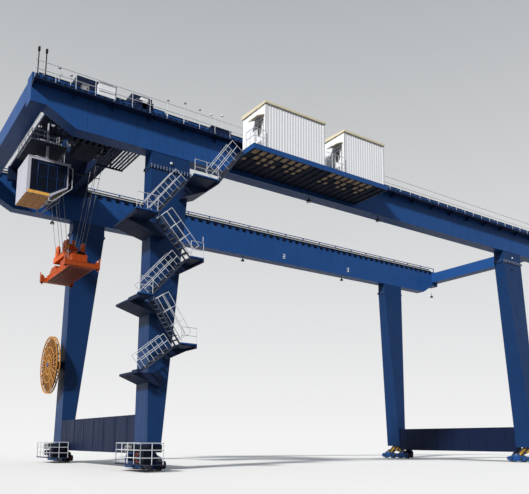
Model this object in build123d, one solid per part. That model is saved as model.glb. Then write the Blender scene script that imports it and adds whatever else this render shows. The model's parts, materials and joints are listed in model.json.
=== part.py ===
from build123d import *
import math
import os

# Rail mounted gantry crane, modelled at half its real size, in millimetres.
# X runs along the main girders, Y across them and away from the front, Z up from the wheel flanges.

# Main girders
leg_span = 19780
overhang_left = 3835
overhang_right = 3270
girder_clear_gap = 7460
girder_width = 520
girder_bottom = 10110
girder_depth = 1390
girder_end_depth = 900
girder_end_flat = 480
haunch_left = 2445
haunch_right = 2015
flange_lip = 14
flange_thickness = 16
end_tie_width = 525
end_tie_depth = 585
end_tie_drop = 125

# Legs and sill beams
leg_head_width = 1380
leg_foot_width = 445
leg_foot_depth = 980
leg_foot_z = 700
leg_saddle_depth = 510
leg_flange_proud = 45
leg_flange_thickness = 40
sill_width = 425
sill_bottom = 480
sill_depth = 1175

# Rockers, bogies and wheels
pivot_half_spacing = 550
rocker_width = 200
rocker_head_half = 200
rocker_waist_half = 470
rocker_waist_z = 465
rocker_toe_half = 690
rocker_toe_top = 400
rocker_toe_bottom = 300
rocker_arch_top = 470
rocker_arch_half = 430
bogie_length = 975
bogie_plate = 40
bogie_inner_width = 220
bogie_bottom = 60
bogie_top = 285
bogie_corner_radius = 105
bogie_lug_half = 130
bogie_lug_top = 395
bogie_web_half = 68
pin_z = 350
pin_radius = 40
wheel_radius = 165
wheel_tread_radius = 150
wheel_width = 130
wheel_tread_width = 96
wheel_half_spacing = 260
axle_radius = 34
axle_cap_proud = 26
fit_gap = 0.5

# Drive cages at the left corners
cage_length = 1800
cage_depth = 720
cage_gap = 60
cage_floor_z = 190
cage_height = 620
cage_bar = 22
cage_post_spacing = 450
drive_motor_radius = 115
drive_motor_length = 380

# Trolley rails and their brackets
rail_inset = 100
rail_foot_width = 130
rail_head_width = 66
rail_height = 150
rail_plate = 20
rail_overhang = 60
bracket_spacing = 420
bracket_thickness = 24
bracket_depth = 110
rail_end_gap = 620

# Walkways and handrails
walkway_drop = 300
walkway_width = 300
walkway_thickness = 30
kick_plate_height = 75
kick_plate_thickness = 6
walkway_bracket_depth = 150
walkway_bracket_spacing = 1200
post_spacing = 600
handrail_height = 550
handrail_bar = 20
cable_post_spacing = 1175
cable_post_height = 330
cable_post_bar = 34

# Stair on the near left leg
stair_gap = 60
stair_width = 330
stair_strip_gap = 60
stringer_thickness = 14
stringer_depth = 110
tread_depth = 95
tread_thickness = 14
tread_rise = 125
landing_thickness = 40
landing_bracket_depth = 420
landing_tip_depth = 60
landing_grip = 350
landing_inner_lip = 60
landing_bracket_clear = 22
foot_landing_length = 180
stair_rail_height = 480
stair_post_spacing = 420
rail_end_clear = 75
landing_rail_height = 520

# Electric house platform
platform_offset = 2735
platform_length = 6050
platform_reach = 1830
platform_top = 10425
platform_depth = 175
deck_plate = 25
platform_beam = 80
platform_beam_spacing = 605

# Electric houses
house_wall = 50
house_height = 1600
house_reach = 1750
house_depth = 1400
first_house_offset = 3245
first_house_length = 2505
house_space = 950
second_house_length = 1950
house_floor_thickness = 20
roof_thickness = 45
roof_fall = 75
roof_eave = 45
door_width = 420
door_height = 1000
door_thickness = 25
door_gap = 6
door_edge = 150
door_sill = 45
hinge_proud = 12
canopy_reach = 300
canopy_drop = 140
canopy_thickness = 20

# Trolley
trolley_centre = -1175
trolley_half_length = 1620
trolley_wheel_half_base = 900
trolley_wheel_radius = 175
trolley_wheel_width = 110
trolley_running_gap = 1
carriage_width = 160
carriage_depth = 315
carriage_half_length = 360
side_beam_gap = 60
side_beam_width = 200
side_beam_depth = 560
side_beam_rise = 80
cross_beam_width = 260
cross_beam_depth = 480
cross_beam_half_spacing = 900
deck_half_length = 1580
trolley_deck_thickness = 30
deck_rail_height = 520
rope_well_half_length = 700
service_drop = 620
service_offset = 330
service_length = 1000
service_near = -3050
service_width = 1750
service_plate = 30
service_hanger = 50

# Hoist machinery on the trolley deck
drum_radius = 290
drum_length = 1500
motor_radius = 180
motor_length = 560
gearbox_depth = 240
drum_lift = 60
drum_gap = 100
stool_half_width = 220
gearbox_half_width = 320
motor_offset = 700
motor_stool_half_width = 120

# Operator's cab
cab_back = -3300
cab_front = -1990
cab_floor_front = -2560
cab_near = -2100
cab_far = -700
cab_bottom = 8650
cab_top = 9900
cab_wall = 35
cab_hanger = 70
cab_slope_rise = 420
cab_platform_rise = 480
cab_platform_plate = 30
cab_platform_reach = 200
cab_post_offset = 600
cab_window_offset = 330
glass_inset = 12
glass_thickness = 10

# Spreader, headblock and ropes
spreader_bottom = 6600
spreader_half_length = 1515
spreader_half_width = 610
end_beam_width = 150
end_beam_depth = 170
twistlock_length = 70
twistlock_radius = 32
twistlock_inset = 60
corner_box_height = 70
guide_height = 210
guide_plate = 14
slide_beam_width = 90
slide_beam_depth = 130
slide_gap = 6
inner_slide_offset = 160
outer_slide_offset = 330
frame_half_length = 1300
frame_wall = 30
slide_beam_inner_end = 1150
pack_half_width = 260
pack_inner = 740
pack_length = 420
pack_height = 300
headblock_half_length = 620
headblock_half_width = 400
headblock_depth = 170
headblock_rise = 330
sheave_radius = 230
sheave_width = 60
sheave_offset_y = 420
sheave_edge = 90
cheek_plate = 16
trunk_half_width = 160
trunk_half_length = 300
rope_radius = 8
rope_fan_offset = 90
rope_anchor_inset = 60

# Cable reel on the far left leg
reel_offset_x = 420
reel_y = 4400
reel_z = 3950
reel_radius = 1190
reel_rim = 60
reel_disc = 34
reel_width = 150
reel_core_radius = 430
reel_middle_radius = 760
reel_spokes = 16
reel_spoke_width = 26
reel_hub_radius = 190
reel_shaft_radius = 60
reel_shaft_gap = 0.1
reel_side_gap = 12
reel_cap = 20

# Places that follow from the sizes above
girder_length = overhang_left + leg_span + overhang_right
girder_left = -girder_length / 2
girder_right = girder_length / 2
leg_left = girder_left + overhang_left
leg_right = leg_left + leg_span
girder_top = girder_bottom + girder_depth
girder_end_bottom = girder_top - girder_end_depth
end_tie_top = girder_top - end_tie_drop
end_tie_bottom = end_tie_top - end_tie_depth
leg_joint_z = girder_bottom - leg_saddle_depth
sill_top = sill_bottom + sill_depth
walkway_z = girder_top - walkway_drop
house_1_left = first_house_offset
house_1_right = house_1_left + first_house_length
house_2_left = house_1_right + house_space
house_2_right = house_2_left + second_house_length
platform_left = platform_offset
platform_right = platform_left + platform_length
girder_inner = girder_clear_gap / 2
girder_outer = girder_inner + girder_width
corner_y = girder_inner + leg_foot_depth / 2
near_reach = girder_outer + platform_reach
far_reach = reel_y + reel_radius
gantry_middle = (near_reach - far_reach) / 2
rail_y = girder_inner + rail_inset
rail_top = girder_top + rail_height


def block(x0, x1, y0, y1, z0, z1):
    """A box between two corners."""
    place = Pos((x0 + x1) / 2, (y0 + y1) / 2, (z0 + z1) / 2)
    return place * Box(abs(x1 - x0), abs(y1 - y0), abs(z1 - z0))


def plate_xz(outline, y0, y1):
    """An outline of X, Z points made thick from y0 to y1."""
    face = make_face(Polyline(*[(x, y0, z) for x, z in outline], close=True))
    return extrude(face, amount=y1 - y0, dir=(0, 1, 0))


def plate_yz(outline, x0, x1):
    """An outline of Y, Z points made thick from x0 to x1."""
    face = make_face(Polyline(*[(x0, y, z) for y, z in outline], close=True))
    return extrude(face, amount=x1 - x0, dir=(1, 0, 0))


def rod_x(x0, x1, y, z, radius):
    """A round rod along X."""
    return Pos((x0 + x1) / 2, y, z) * Rot(0, 90, 0) * Cylinder(radius, abs(x1 - x0))


def rod_y(y0, y1, x, z, radius):
    """A round rod along Y."""
    return Pos(x, (y0 + y1) / 2, z) * Rot(90, 0, 0) * Cylinder(radius, abs(y1 - y0))


def bar(start, end, side):
    """A square bar between two points."""
    run = Vector(*end) - Vector(*start)
    return extrude(Plane(origin=start, z_dir=run) * Rectangle(side, side), amount=run.length)


def fused(pieces):
    """One solid from pieces that meet."""
    whole = pieces[0]
    return whole.fuse(*pieces[1:])


def spread(first, last, step):
    """Even places from first to last, about a step apart."""
    count = max(1, round(abs(last - first) / step))
    return [first + (last - first) * number / count for number in range(count + 1)]


def mirrored_y(piece):
    """The same piece on the far side of the crane's middle."""
    return mirror(piece, about=Plane.XZ)


def make_girder(side):
    """A box girder with haunched overhangs, and flanges that stand proud of its webs."""
    web_outline = [
        (girder_left, girder_end_bottom),
        (girder_left + girder_end_flat, girder_end_bottom),
        (leg_left - haunch_left, girder_bottom),
        (leg_right + haunch_right, girder_bottom),
        (girder_right - girder_end_flat, girder_end_bottom),
        (girder_right, girder_end_bottom),
        (girder_right, girder_top),
        (girder_left, girder_top),
    ]
    y0 = girder_inner
    y1 = girder_outer
    web = plate_xz(web_outline, y0, y1)
    lip = block(
        leg_left - haunch_left, leg_right + haunch_right,
        y0, y1 + flange_lip,
        girder_bottom, girder_bottom + flange_thickness,
    )
    girder = fused([web, lip])
    if side < 0:
        girder = mirrored_y(girder)
    return girder


def make_end_tie(x0, x1):
    """The box beam that joins the girders' inner faces at one end."""
    return block(x0, x1, -girder_inner, girder_inner, end_tie_bottom, end_tie_top)


def make_leg(side_x, side_y):
    """A tapered box leg, upright on its outer face, bolted under its saddle on the girder."""
    outer_x = leg_left if side_x < 0 else leg_right
    inward = -side_x

    def section(width, depth, z):
        low_x = min(outer_x, outer_x + inward * width)
        face = Plane.XY.offset(z) * Pos(low_x + width / 2, girder_inner + depth / 2) * Rectangle(width, depth)
        return face

    shaft = loft([
        section(leg_foot_width, leg_foot_depth, leg_foot_z),
        section(leg_head_width, girder_width, leg_joint_z),
    ])
    saddle = loft([
        section(leg_head_width, girder_width, leg_joint_z),
        section(leg_head_width, girder_width, girder_bottom),
    ])
    low_x = min(outer_x, outer_x + inward * leg_head_width)
    joint = block(
        low_x - leg_flange_proud, low_x + leg_head_width + leg_flange_proud,
        girder_inner, girder_outer + leg_flange_proud,
        leg_joint_z - leg_flange_thickness, leg_joint_z + leg_flange_thickness,
    )
    leg = fused([shaft, saddle, joint])
    if side_y < 0:
        leg = mirrored_y(leg)
    return leg


def rail_x(side_x):
    """The X place of the crane rail under the left or right legs."""
    if side_x < 0:
        return leg_left + leg_foot_width / 2
    return leg_right - leg_foot_width / 2


def make_sill(side_x):
    """The deep beam between the feet of the near and far legs."""
    middle = rail_x(side_x)
    return block(
        middle - sill_width / 2, middle + sill_width / 2,
        -girder_inner, girder_inner,
        sill_bottom, sill_top,
    )


def make_rocker(side_x, side_y):
    """The arched equaliser that shares a leg's load between two bogies."""
    outline = [
        (-rocker_head_half, leg_foot_z),
        (-rocker_waist_half, rocker_waist_z),
        (-rocker_toe_half, rocker_toe_top),
        (-rocker_toe_half, rocker_toe_bottom),
        (-rocker_arch_half, rocker_toe_bottom),
        (0, rocker_arch_top),
        (rocker_arch_half, rocker_toe_bottom),
        (rocker_toe_half, rocker_toe_bottom),
        (rocker_toe_half, rocker_toe_top),
        (rocker_waist_half, rocker_waist_z),
        (rocker_head_half, leg_foot_z),
    ]
    arch = plate_yz(outline, -rocker_width / 2, rocker_width / 2)
    for pivot in (-pivot_half_spacing, pivot_half_spacing):
        arch = arch - rod_x(-rocker_width, rocker_width, pivot, pin_z, pin_radius + fit_gap)
    return Pos(rail_x(side_x), side_y * corner_y, 0) * arch


def make_bogie():
    """One two-wheel bogie frame with its pivot pin, about its own middle."""
    half = bogie_length / 2
    outer = bogie_inner_width / 2 + bogie_plate
    side_face = make_face(Polyline(
        (0, -half, bogie_bottom), (0, half, bogie_bottom),
        (0, half, bogie_top), (0, -half, bogie_top), close=True,
    ))
    side_face = fillet(side_face.vertices(), bogie_corner_radius)
    lug = make_face(Polyline(
        (0, -2 * bogie_lug_half, bogie_top - bogie_plate), (0, 2 * bogie_lug_half, bogie_top - bogie_plate),
        (0, bogie_lug_half, bogie_lug_top), (0, -bogie_lug_half, bogie_lug_top), close=True,
    ))
    plates = []
    for x in (-outer, outer - bogie_plate):
        plates.append(Pos(x, 0, 0) * extrude(side_face, amount=bogie_plate, dir=(1, 0, 0)))
        plates.append(Pos(x, 0, 0) * extrude(lug, amount=bogie_plate, dir=(1, 0, 0)))
    web = block(-outer, outer, -bogie_web_half, bogie_web_half, bogie_bottom + bogie_plate, bogie_top)
    pin = rod_x(-outer - axle_cap_proud, outer + axle_cap_proud, 0, pin_z, pin_radius)
    frame = fused(plates + [web, pin])
    for y in (-wheel_half_spacing, wheel_half_spacing):
        frame = frame - rod_x(-2 * outer, 2 * outer, y, wheel_radius, axle_radius + fit_gap)
    return frame


def make_wheel():
    """One double-flanged wheel with its axle, about its own middle."""
    outer = bogie_inner_width / 2 + bogie_plate + axle_cap_proud
    half_tread = wheel_tread_width / 2
    half_width = wheel_width / 2
    profile = make_face(Polyline(
        (0, 0), (axle_radius, 0), (axle_radius, outer - half_width), (wheel_radius, outer - half_width),
        (wheel_radius, outer - half_tread), (wheel_tread_radius, outer - half_tread),
        (wheel_tread_radius, outer + half_tread), (wheel_radius, outer + half_tread),
        (wheel_radius, outer + half_width), (axle_radius, outer + half_width),
        (axle_radius, 2 * outer), (0, 2 * outer), close=True,
    ))
    turned = revolve(profile, axis=Axis.Y)
    return Rot(0, 0, 90) * Pos(0, -outer, 0) * turned


def bogie_places(side_x, side_y):
    """The middles of the two bogies at one corner."""
    places = []
    for pivot in (-pivot_half_spacing, pivot_half_spacing):
        places.append(Pos(rail_x(side_x), side_y * corner_y + pivot, 0))
    return places


def make_bogies(side_x, side_y):
    """Both bogie frames at one corner."""
    frame = make_bogie()
    return Compound([place * frame for place in bogie_places(side_x, side_y)])


def make_wheels(side_x, side_y):
    """The four wheels at one corner."""
    wheel = make_wheel()
    wheels = []
    for place in bogie_places(side_x, side_y):
        for y in (-wheel_half_spacing, wheel_half_spacing):
            wheels.append(place * Pos(0, y, wheel_radius) * wheel)
    return Compound(wheels)


def make_drive_cage(side_y):
    """A pipe guard round the gantry drive motors, on a floor beside the bogies."""
    x1 = leg_left - cage_gap
    x0 = x1 - cage_depth
    y1 = side_y * corner_y
    y0 = y1 - cage_length
    z0 = cage_floor_z
    top = z0 + cage_height
    pieces = [block(x0, x1, y0, y1, z0, z0 + cage_bar)]
    for y in spread(y0 + cage_bar / 2, y1 - cage_bar / 2, cage_post_spacing):
        pieces.append(block(x0, x0 + cage_bar, y - cage_bar / 2, y + cage_bar / 2, z0, top))
    for y in (y0, y1 - cage_bar):
        pieces.append(block(x1 - cage_bar, x1, y, y + cage_bar, z0, top))
    for z in (top - cage_bar, z0 + cage_height / 2):
        pieces.append(block(x0, x0 + cage_bar, y0, y1, z, z + cage_bar))
        for y in (y0, y1 - cage_bar):
            pieces.append(block(x0, x1, y, y + cage_bar, z, z + cage_bar))
    motor_z = z0 + cage_bar + drive_motor_radius
    for y in (y0 + cage_length * 0.3, y0 + cage_length * 0.72):
        pieces.append(block(x0 + 150, x1 - 60, y - 90, y + 90, z0, motor_z))
        pieces.append(rod_x(x0 + 150, x0 + 150 + drive_motor_length, y, motor_z + 60, drive_motor_radius))
    hanger = block(
        x1 - cage_bar, rail_x(-1) - bogie_inner_width / 2 - bogie_plate,
        y1 - cage_bar - pivot_half_spacing, y1 - pivot_half_spacing + cage_bar, z0, z0 + 2 * cage_bar,
    )
    pieces.append(hanger)
    return fused(pieces)


def make_drive_cages():
    """The guards at both left corners."""
    return Compound([make_drive_cage(-1), make_drive_cage(1)])


def make_trolley_rail(side):
    """A trolley rail on its plate, with the row of gussets below the plate's lip."""
    x0 = girder_left + rail_end_gap
    x1 = girder_right - rail_end_gap
    inner = girder_inner - rail_overhang
    outer = rail_y + rail_foot_width / 2
    top = girder_top + rail_plate
    pieces = [
        block(x0, x1, inner, outer, girder_top, top),
        block(x0, x1, rail_y - rail_head_width / 2, rail_y + rail_head_width / 2, top, rail_top),
    ]
    gusset = [
        (inner, girder_top), (girder_inner, girder_top), (girder_inner, girder_top - bracket_depth),
    ]
    for x in spread(x0 + bracket_thickness, x1 - bracket_thickness, bracket_spacing):
        pieces.append(plate_yz(gusset, x - bracket_thickness / 2, x + bracket_thickness / 2))
    rail = fused(pieces)
    if side < 0:
        rail = mirrored_y(rail)
    return rail


def make_trolley_rails():
    """Both trolley rails."""
    return Compound([make_trolley_rail(-1), make_trolley_rail(1)])


def make_walkway():
    """The deck along the outer face of a girder, on tapered brackets."""
    y0 = girder_outer
    y1 = girder_outer + walkway_width
    pieces = [block(girder_left, girder_right, y0, y1, walkway_z - walkway_thickness, walkway_z)]
    under = walkway_z - walkway_thickness
    bracket = [(y0, under), (y1, under), (y1, under - walkway_thickness), (y0, under - walkway_bracket_depth)]
    half = bracket_thickness / 2
    for x in spread(girder_left + half, girder_right - half, walkway_bracket_spacing):
        pieces.append(plate_yz(bracket, x - half, x + half))
    return fused(pieces)


def make_handrail():
    """Posts and two rails along the outer edge of a girder walkway."""
    y1 = girder_outer + walkway_width
    y0 = y1 - handrail_bar
    half = handrail_bar / 2
    pieces = []
    for z in (walkway_z + handrail_height - handrail_bar, walkway_z + handrail_height / 2):
        pieces.append(block(girder_left, girder_right, y0, y1, z, z + handrail_bar))
    pieces.append(block(
        girder_left, girder_right, y1 - kick_plate_thickness, y1, walkway_z, walkway_z + kick_plate_height,
    ))
    for x in spread(girder_left + half, girder_right - half, post_spacing):
        pieces.append(block(x - half, x + half, y0, y1, walkway_z, walkway_z + handrail_height - half))
    return fused(pieces)


def make_cable_posts():
    """The posts and line that carry the trolley's cables along the far girder."""
    half = cable_post_bar / 2
    y0 = rail_y + rail_foot_width / 2 + carriage_width / 2
    top = girder_top + cable_post_height
    pieces = [block(girder_left, girder_right, y0, y0 + cable_post_bar, top - cable_post_bar, top)]
    arm = 3 * cable_post_bar
    for x in spread(girder_left + half + arm, girder_right - half, cable_post_spacing):
        pieces.append(block(x - half, x + half, y0, y0 + cable_post_bar, girder_top, top))
        gusset = [(x, top), (x - arm, top), (x, top - arm)]
        pieces.append(plate_xz(gusset, y0, y0 + cable_post_bar))
    return fused(pieces)


# The zigzag stair: each flight's ends and each landing's ends along X, from the left legs' outer face
flights = [
    ((-390, 2900), (600, 3700)),
    ((600, 3700), (-320, 5050)),
    ((-320, 5050), (850, 6400)),
    ((850, 6400), (-250, 7575)),
    ((-250, 7575), (910, 9080)),
    ((1800, 9080), (platform_left, platform_top)),
]
landings = [
    (-390 - foot_landing_length, -390, 2900),
    (600, 1150, 3700),
    (-780, -320, 5050),
    (850, 1320, 6400),
    (-960, -250, 7575),
    (910, 1800, 9080),
]


def stair_edges(strip):
    """The inner and outer Y places of the stair's inner strip, 0, or outer strip, 1."""
    inner = corner_y + leg_foot_depth / 2 + stair_gap + strip * (stair_width + stair_strip_gap)
    return -inner, -(inner + stair_width)


def make_flight(ends, strip):
    """One flight: two stringers and treads between them."""
    (x0, z0), (x1, z1) = ends
    inner, outer = stair_edges(strip)
    way = 1 if x1 > x0 else -1
    slope = abs(z1 - z0) / abs(x1 - x0)
    x0 = x0 + leg_left
    x1 = x1 + leg_left
    reach = stringer_depth / 2 * math.hypot(1, slope)
    outline = [(x0, z0 - reach), (x0, z0), (x1, z1), (x1, z1 - reach)]
    pieces = [
        plate_xz(outline, inner - stringer_thickness, inner),
        plate_xz(outline, outer, outer + stringer_thickness),
    ]
    for z in spread(z0, z1, tread_rise)[1:-1]:
        x = x0 + (x1 - x0) * (z - z0) / (z1 - z0)
        low = z - tread_thickness
        back = x + way * tread_depth / 2
        front = x - way * tread_depth / 2
        pieces.append(block(front, back, outer, inner, low, z))
    return fused(pieces)


def leg_width(z):
    """A leg's width along X at a height."""
    share = (min(z, leg_joint_z) - leg_foot_z) / (leg_joint_z - leg_foot_z)
    return leg_foot_width + (leg_head_width - leg_foot_width) * share


def make_landing(ends, leg):
    """A landing plate with an edge beam, on a deep tapered bracket that grips the leg."""
    x0, x1, z = ends
    inner = stair_edges(0)[0]
    outer = stair_edges(1)[1] if x1 - x0 > foot_landing_length else stair_edges(0)[1]
    under = z - landing_thickness
    tip, root = (x0, landing_grip) if x0 < 0 else (x1, leg_width(z) - landing_grip)
    tip_inward = tip + (landing_tip_depth if root > tip else -landing_tip_depth)
    plate = block(x0, x1, outer, inner + landing_inner_lip, under, z)
    beam = block(tip, tip_inward, outer, inner, under - landing_tip_depth, under)
    outline = [
        (root, under), (tip, under), (tip, under - landing_tip_depth), (root, under - landing_bracket_depth),
    ]
    bracket = plate_xz(outline, inner + landing_bracket_clear, -girder_inner)
    landing = fused([plate, beam, bracket])
    return Pos(leg_left, 0, 0) * landing - leg


def make_landings():
    """All the landings."""
    leg = make_leg(-1, -1)
    return Compound([make_landing(ends, leg) for ends in landings])


def rail_panel(path, y, height, bar_side, post_step, drop=0, square=False):
    """Posts with two rails along a line of X, Z points, upright or square to it, from a drop below it."""
    (x0, z0), (x1, z1) = path
    length = math.hypot(x1 - x0, z1 - z0)
    lean_x, lean_z = (0, 1)
    if square:
        way = 1 if x1 > x0 else -1
        lean_x, lean_z = (-way * (z1 - z0) / length, abs(x1 - x0) / length)
    pieces = []
    for level in (height, height / 2):
        shift_x = lean_x * level
        shift_z = lean_z * level
        pieces.append(bar((x0 + shift_x, y, z0 + shift_z), (x1 + shift_x, y, z1 + shift_z), bar_side))
    reach = height + bar_side / 2
    for share in spread(0, 1, post_step / length):
        x = x0 + (x1 - x0) * share
        z = z0 + (z1 - z0) * share
        foot = (x - lean_x * drop, y, z - lean_z * drop)
        head = (x + lean_x * reach, y, z + lean_z * reach)
        pieces.append(bar(foot, head, bar_side))
    return fused(pieces)


def make_stair_handrails():
    """A handrail on both sides of each flight, and along each landing's outer side and tip."""
    half = handrail_bar / 2
    panels = []
    for number, ((x0, z0), (x1, z1)) in enumerate(flights):
        inner, outer = stair_edges(number % 2)
        share = rail_end_clear / abs(x1 - x0)
        ax = x0 + (x1 - x0) * share
        az = z0 + (z1 - z0) * share
        bx = x1 - (x1 - x0) * share
        bz = z1 - (z1 - z0) * share
        path = ((ax + leg_left, az), (bx + leg_left, bz))
        for y in (inner + half, outer - half):
            panels.append(rail_panel(
                path, y, stair_rail_height, handrail_bar, stair_post_spacing, stringer_depth / 2, True,
            ))
    outer = stair_edges(1)[1]
    for x0, x1, z in landings[1:]:
        path = ((x0 + leg_left + handrail_bar, z), (x1 + leg_left - handrail_bar, z))
        panels.append(rail_panel(path, outer + half, landing_rail_height, handrail_bar, stair_post_spacing))
    return Compound(panels)


def make_house_platform():
    """The deck beside the near girder that carries the electric houses, on beams with open bays."""
    x0 = leg_left + platform_left
    x1 = leg_left + platform_right
    y0 = girder_outer
    y1 = girder_outer + platform_reach
    low = platform_top - platform_depth
    pieces = [block(x0, x1, y0, y1, platform_top - deck_plate, platform_top)]
    for x in spread(x0, x1 - platform_beam, platform_beam_spacing):
        pieces.append(block(x, x + platform_beam, y0, y1, low, platform_top - deck_plate))
    pieces.append(block(x0, x1, y1 - deck_plate, y1, low, platform_top))
    return mirrored_y(fused(pieces))


def make_platform_handrail():
    """The rail round the free edges of the platform, beside the houses' doors."""
    half = handrail_bar / 2
    y1 = -(girder_outer + platform_reach) + handrail_bar
    x0 = leg_left + platform_left + handrail_bar
    runs = [
        (x0, leg_left + house_1_left - 2 * handrail_bar),
        (leg_left + house_1_right + 2 * handrail_bar, leg_left + house_2_left - 2 * handrail_bar),
    ]
    panels = []
    for start, end in runs:
        path = ((start, platform_top), (end, platform_top))
        panels.append(rail_panel(path, y1 + half, handrail_height, handrail_bar, post_spacing / 2))
    return Compound(panels)


house_front = -(girder_outer + house_reach)
house_back = house_front + house_depth
door_low = house_front + door_edge
door_bottom = platform_top + door_sill


def make_house_walls(left, right):
    """Four walls with a doorway in the left one."""
    x0 = leg_left + left
    x1 = leg_left + right
    top = platform_top + house_height
    walls = block(x0, x1, house_front, house_back, platform_top, top)
    walls = walls - block(
        x0 + house_wall, x1 - house_wall,
        house_front + house_wall, house_back - house_wall,
        platform_top, top,
    )
    walls = walls - block(
        x0 - house_wall, x0 + 2 * house_wall,
        door_low, door_low + door_width,
        door_bottom, door_bottom + door_height,
    )
    return walls


def make_house_floor(left, right):
    """The floor between a house's walls."""
    return block(
        leg_left + left + house_wall, leg_left + right - house_wall,
        house_front + house_wall, house_back - house_wall,
        platform_top, platform_top + house_floor_thickness,
    )


def make_roof(left, right):
    """A roof slab with an eave all round that falls towards the front."""
    z = platform_top + house_height
    y0 = house_front - roof_eave
    y1 = house_back + roof_eave
    outline = [(y0, z), (y1, z), (y1, z + roof_thickness + roof_fall), (y0, z + roof_thickness)]
    return plate_yz(outline, leg_left + left - roof_eave, leg_left + right + roof_eave)


def make_door(left):
    """A door leaf flush in its doorway, with a hinge barrel proud of its face."""
    x0 = leg_left + left
    leaf = block(
        x0, x0 + door_thickness,
        door_low + door_gap, door_low + door_width - door_gap,
        door_bottom + door_gap, door_bottom + door_height - door_gap,
    )
    barrel = Pos(x0, door_low + door_gap + hinge_proud, door_bottom + door_height / 2)
    barrel = barrel * Cylinder(hinge_proud, door_height - 4 * door_gap)
    return fused([leaf, barrel])


def make_canopy(left):
    """A small sloping roof over a door."""
    x0 = leg_left + left
    z = door_bottom + door_height + 3 * canopy_thickness + canopy_drop
    outline = [
        (x0, z), (x0, z - canopy_thickness),
        (x0 - canopy_reach, z - canopy_drop - canopy_thickness), (x0 - canopy_reach, z - canopy_drop),
    ]
    return plate_xz(outline, door_low - door_edge / 2, door_low + door_width + door_edge / 2)


def trolley_levels():
    """The underside and top of the trolley's side beams, under its deck."""
    top = rail_top + side_beam_rise
    return top - side_beam_depth, top


def make_carriage(x, y_side):
    """A wheel box over one wheel, with the arm that joins it to the side beam."""
    y = y_side * rail_y
    low = rail_top + trolley_wheel_radius * 0.55
    top = low + carriage_depth
    carriage = block(
        x - carriage_half_length, x + carriage_half_length,
        y - carriage_width / 2, y + carriage_width / 2, low, top,
    )
    carriage = carriage - block(
        x - trolley_wheel_radius - 12, x + trolley_wheel_radius + 12,
        y - trolley_wheel_width / 2 - 5, y + trolley_wheel_width / 2 + 5, low - 10, top - 40,
    )
    axle_z = rail_top + trolley_running_gap + trolley_wheel_radius
    carriage = carriage - rod_y(y - carriage_width, y + carriage_width, x, axle_z, axle_radius + fit_gap)
    beam_inner = y_side * (side_beam_y() - side_beam_width / 2)
    arms = []
    for x0 in (x - carriage_half_length, x + carriage_half_length - carriage_width):
        arms.append(block(
            x0, x0 + carriage_width, beam_inner, y - y_side * carriage_width / 2, low, top,
        ))
    return [carriage] + arms


def side_beam_y():
    """The Y place of a side beam's middle, clear of the rail plate."""
    return girder_inner - rail_overhang - side_beam_gap - side_beam_width / 2


def make_trolley_frame():
    """Side beams that hang between the girders, on wheel boxes over the rails, with cross beams between."""
    x = leg_left + trolley_centre
    low, top = trolley_levels()
    pieces = []
    for side in (-1, 1):
        y = side * side_beam_y()
        pieces.append(block(
            x - trolley_half_length, x + trolley_half_length,
            y - side_beam_width / 2, y + side_beam_width / 2, low, top,
        ))
        for offset in (-trolley_wheel_half_base, trolley_wheel_half_base):
            pieces.extend(make_carriage(x + offset, side))
            for edge in (-1, 1):
                middle = x + offset + edge * (carriage_half_length - carriage_width / 2)
                pieces.append(block(
                    middle - carriage_width / 2, middle + carriage_width / 2,
                    y - side_beam_width / 2, y + side_beam_width / 2,
                    top, rail_top + trolley_wheel_radius * 0.55 + carriage_depth,
                ))
    for offset in (-cross_beam_half_spacing, cross_beam_half_spacing):
        pieces.append(block(
            x + offset - cross_beam_width / 2, x + offset + cross_beam_width / 2,
            -side_beam_y(), side_beam_y(), low, low + cross_beam_depth,
        ))
    pieces.extend(make_service_platform(x, low))
    return fused(pieces)


def make_service_platform(x, low):
    """A slatted platform hung under the right cross beam for work on the cab's cables."""
    x0 = x + service_offset
    x1 = x0 + service_length
    y0 = service_near
    y1 = service_near + service_width
    z = low - service_drop
    pieces = []
    for y in (y0, y1 - service_plate):
        pieces.append(block(x0, x1, y, y + service_plate, z - 2 * service_plate, z))
    for slat in spread(x0, x1 - 2 * service_plate, 4 * service_plate):
        pieces.append(block(slat, slat + 2 * service_plate, y0, y1, z - service_plate, z))
    beam_x = x + cross_beam_half_spacing
    for y in (y0, y1 - service_hanger):
        pieces.append(block(beam_x - service_hanger, beam_x, y, y + service_hanger, z - service_plate, low))
    return pieces


def make_trolley_wheels():
    """Four wheels on their axles."""
    x = leg_left + trolley_centre
    z = rail_top + trolley_running_gap + trolley_wheel_radius
    wheels = []
    for side in (-1, 1):
        for offset in (-trolley_wheel_half_base, trolley_wheel_half_base):
            y = side * rail_y
            tyre = rod_y(
                y - trolley_wheel_width / 2, y + trolley_wheel_width / 2, x + offset, z, trolley_wheel_radius,
            )
            axle = rod_y(
                y - carriage_width / 2 - axle_cap_proud, y + carriage_width / 2 + axle_cap_proud,
                x + offset, z, axle_radius,
            )
            wheels.append(fused([tyre, axle]))
    return Compound(wheels)


def make_trolley_deck():
    """The deck plate on the trolley's side beams, open in the middle where the ropes pass."""
    x = leg_left + trolley_centre
    low, top = trolley_levels()
    half_width = side_beam_y() - side_beam_width / 2
    deck = block(
        x - deck_half_length, x + deck_half_length, -half_width, half_width, top, top + trolley_deck_thickness,
    )
    bearer = block(
        x - deck_half_length, x + deck_half_length, -half_width, half_width,
        low + cross_beam_depth, top,
    )
    bearer = bearer - block(
        x - deck_half_length + cross_beam_width, x + deck_half_length - cross_beam_width,
        -half_width + cross_beam_width, half_width - cross_beam_width, low, top,
    )
    well = block(
        x - rope_well_half_length, x + rope_well_half_length,
        -sheave_offset_y * 2, sheave_offset_y * 2, low, top + 2 * trolley_deck_thickness,
    )
    return fused([deck, bearer]) - well


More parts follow.
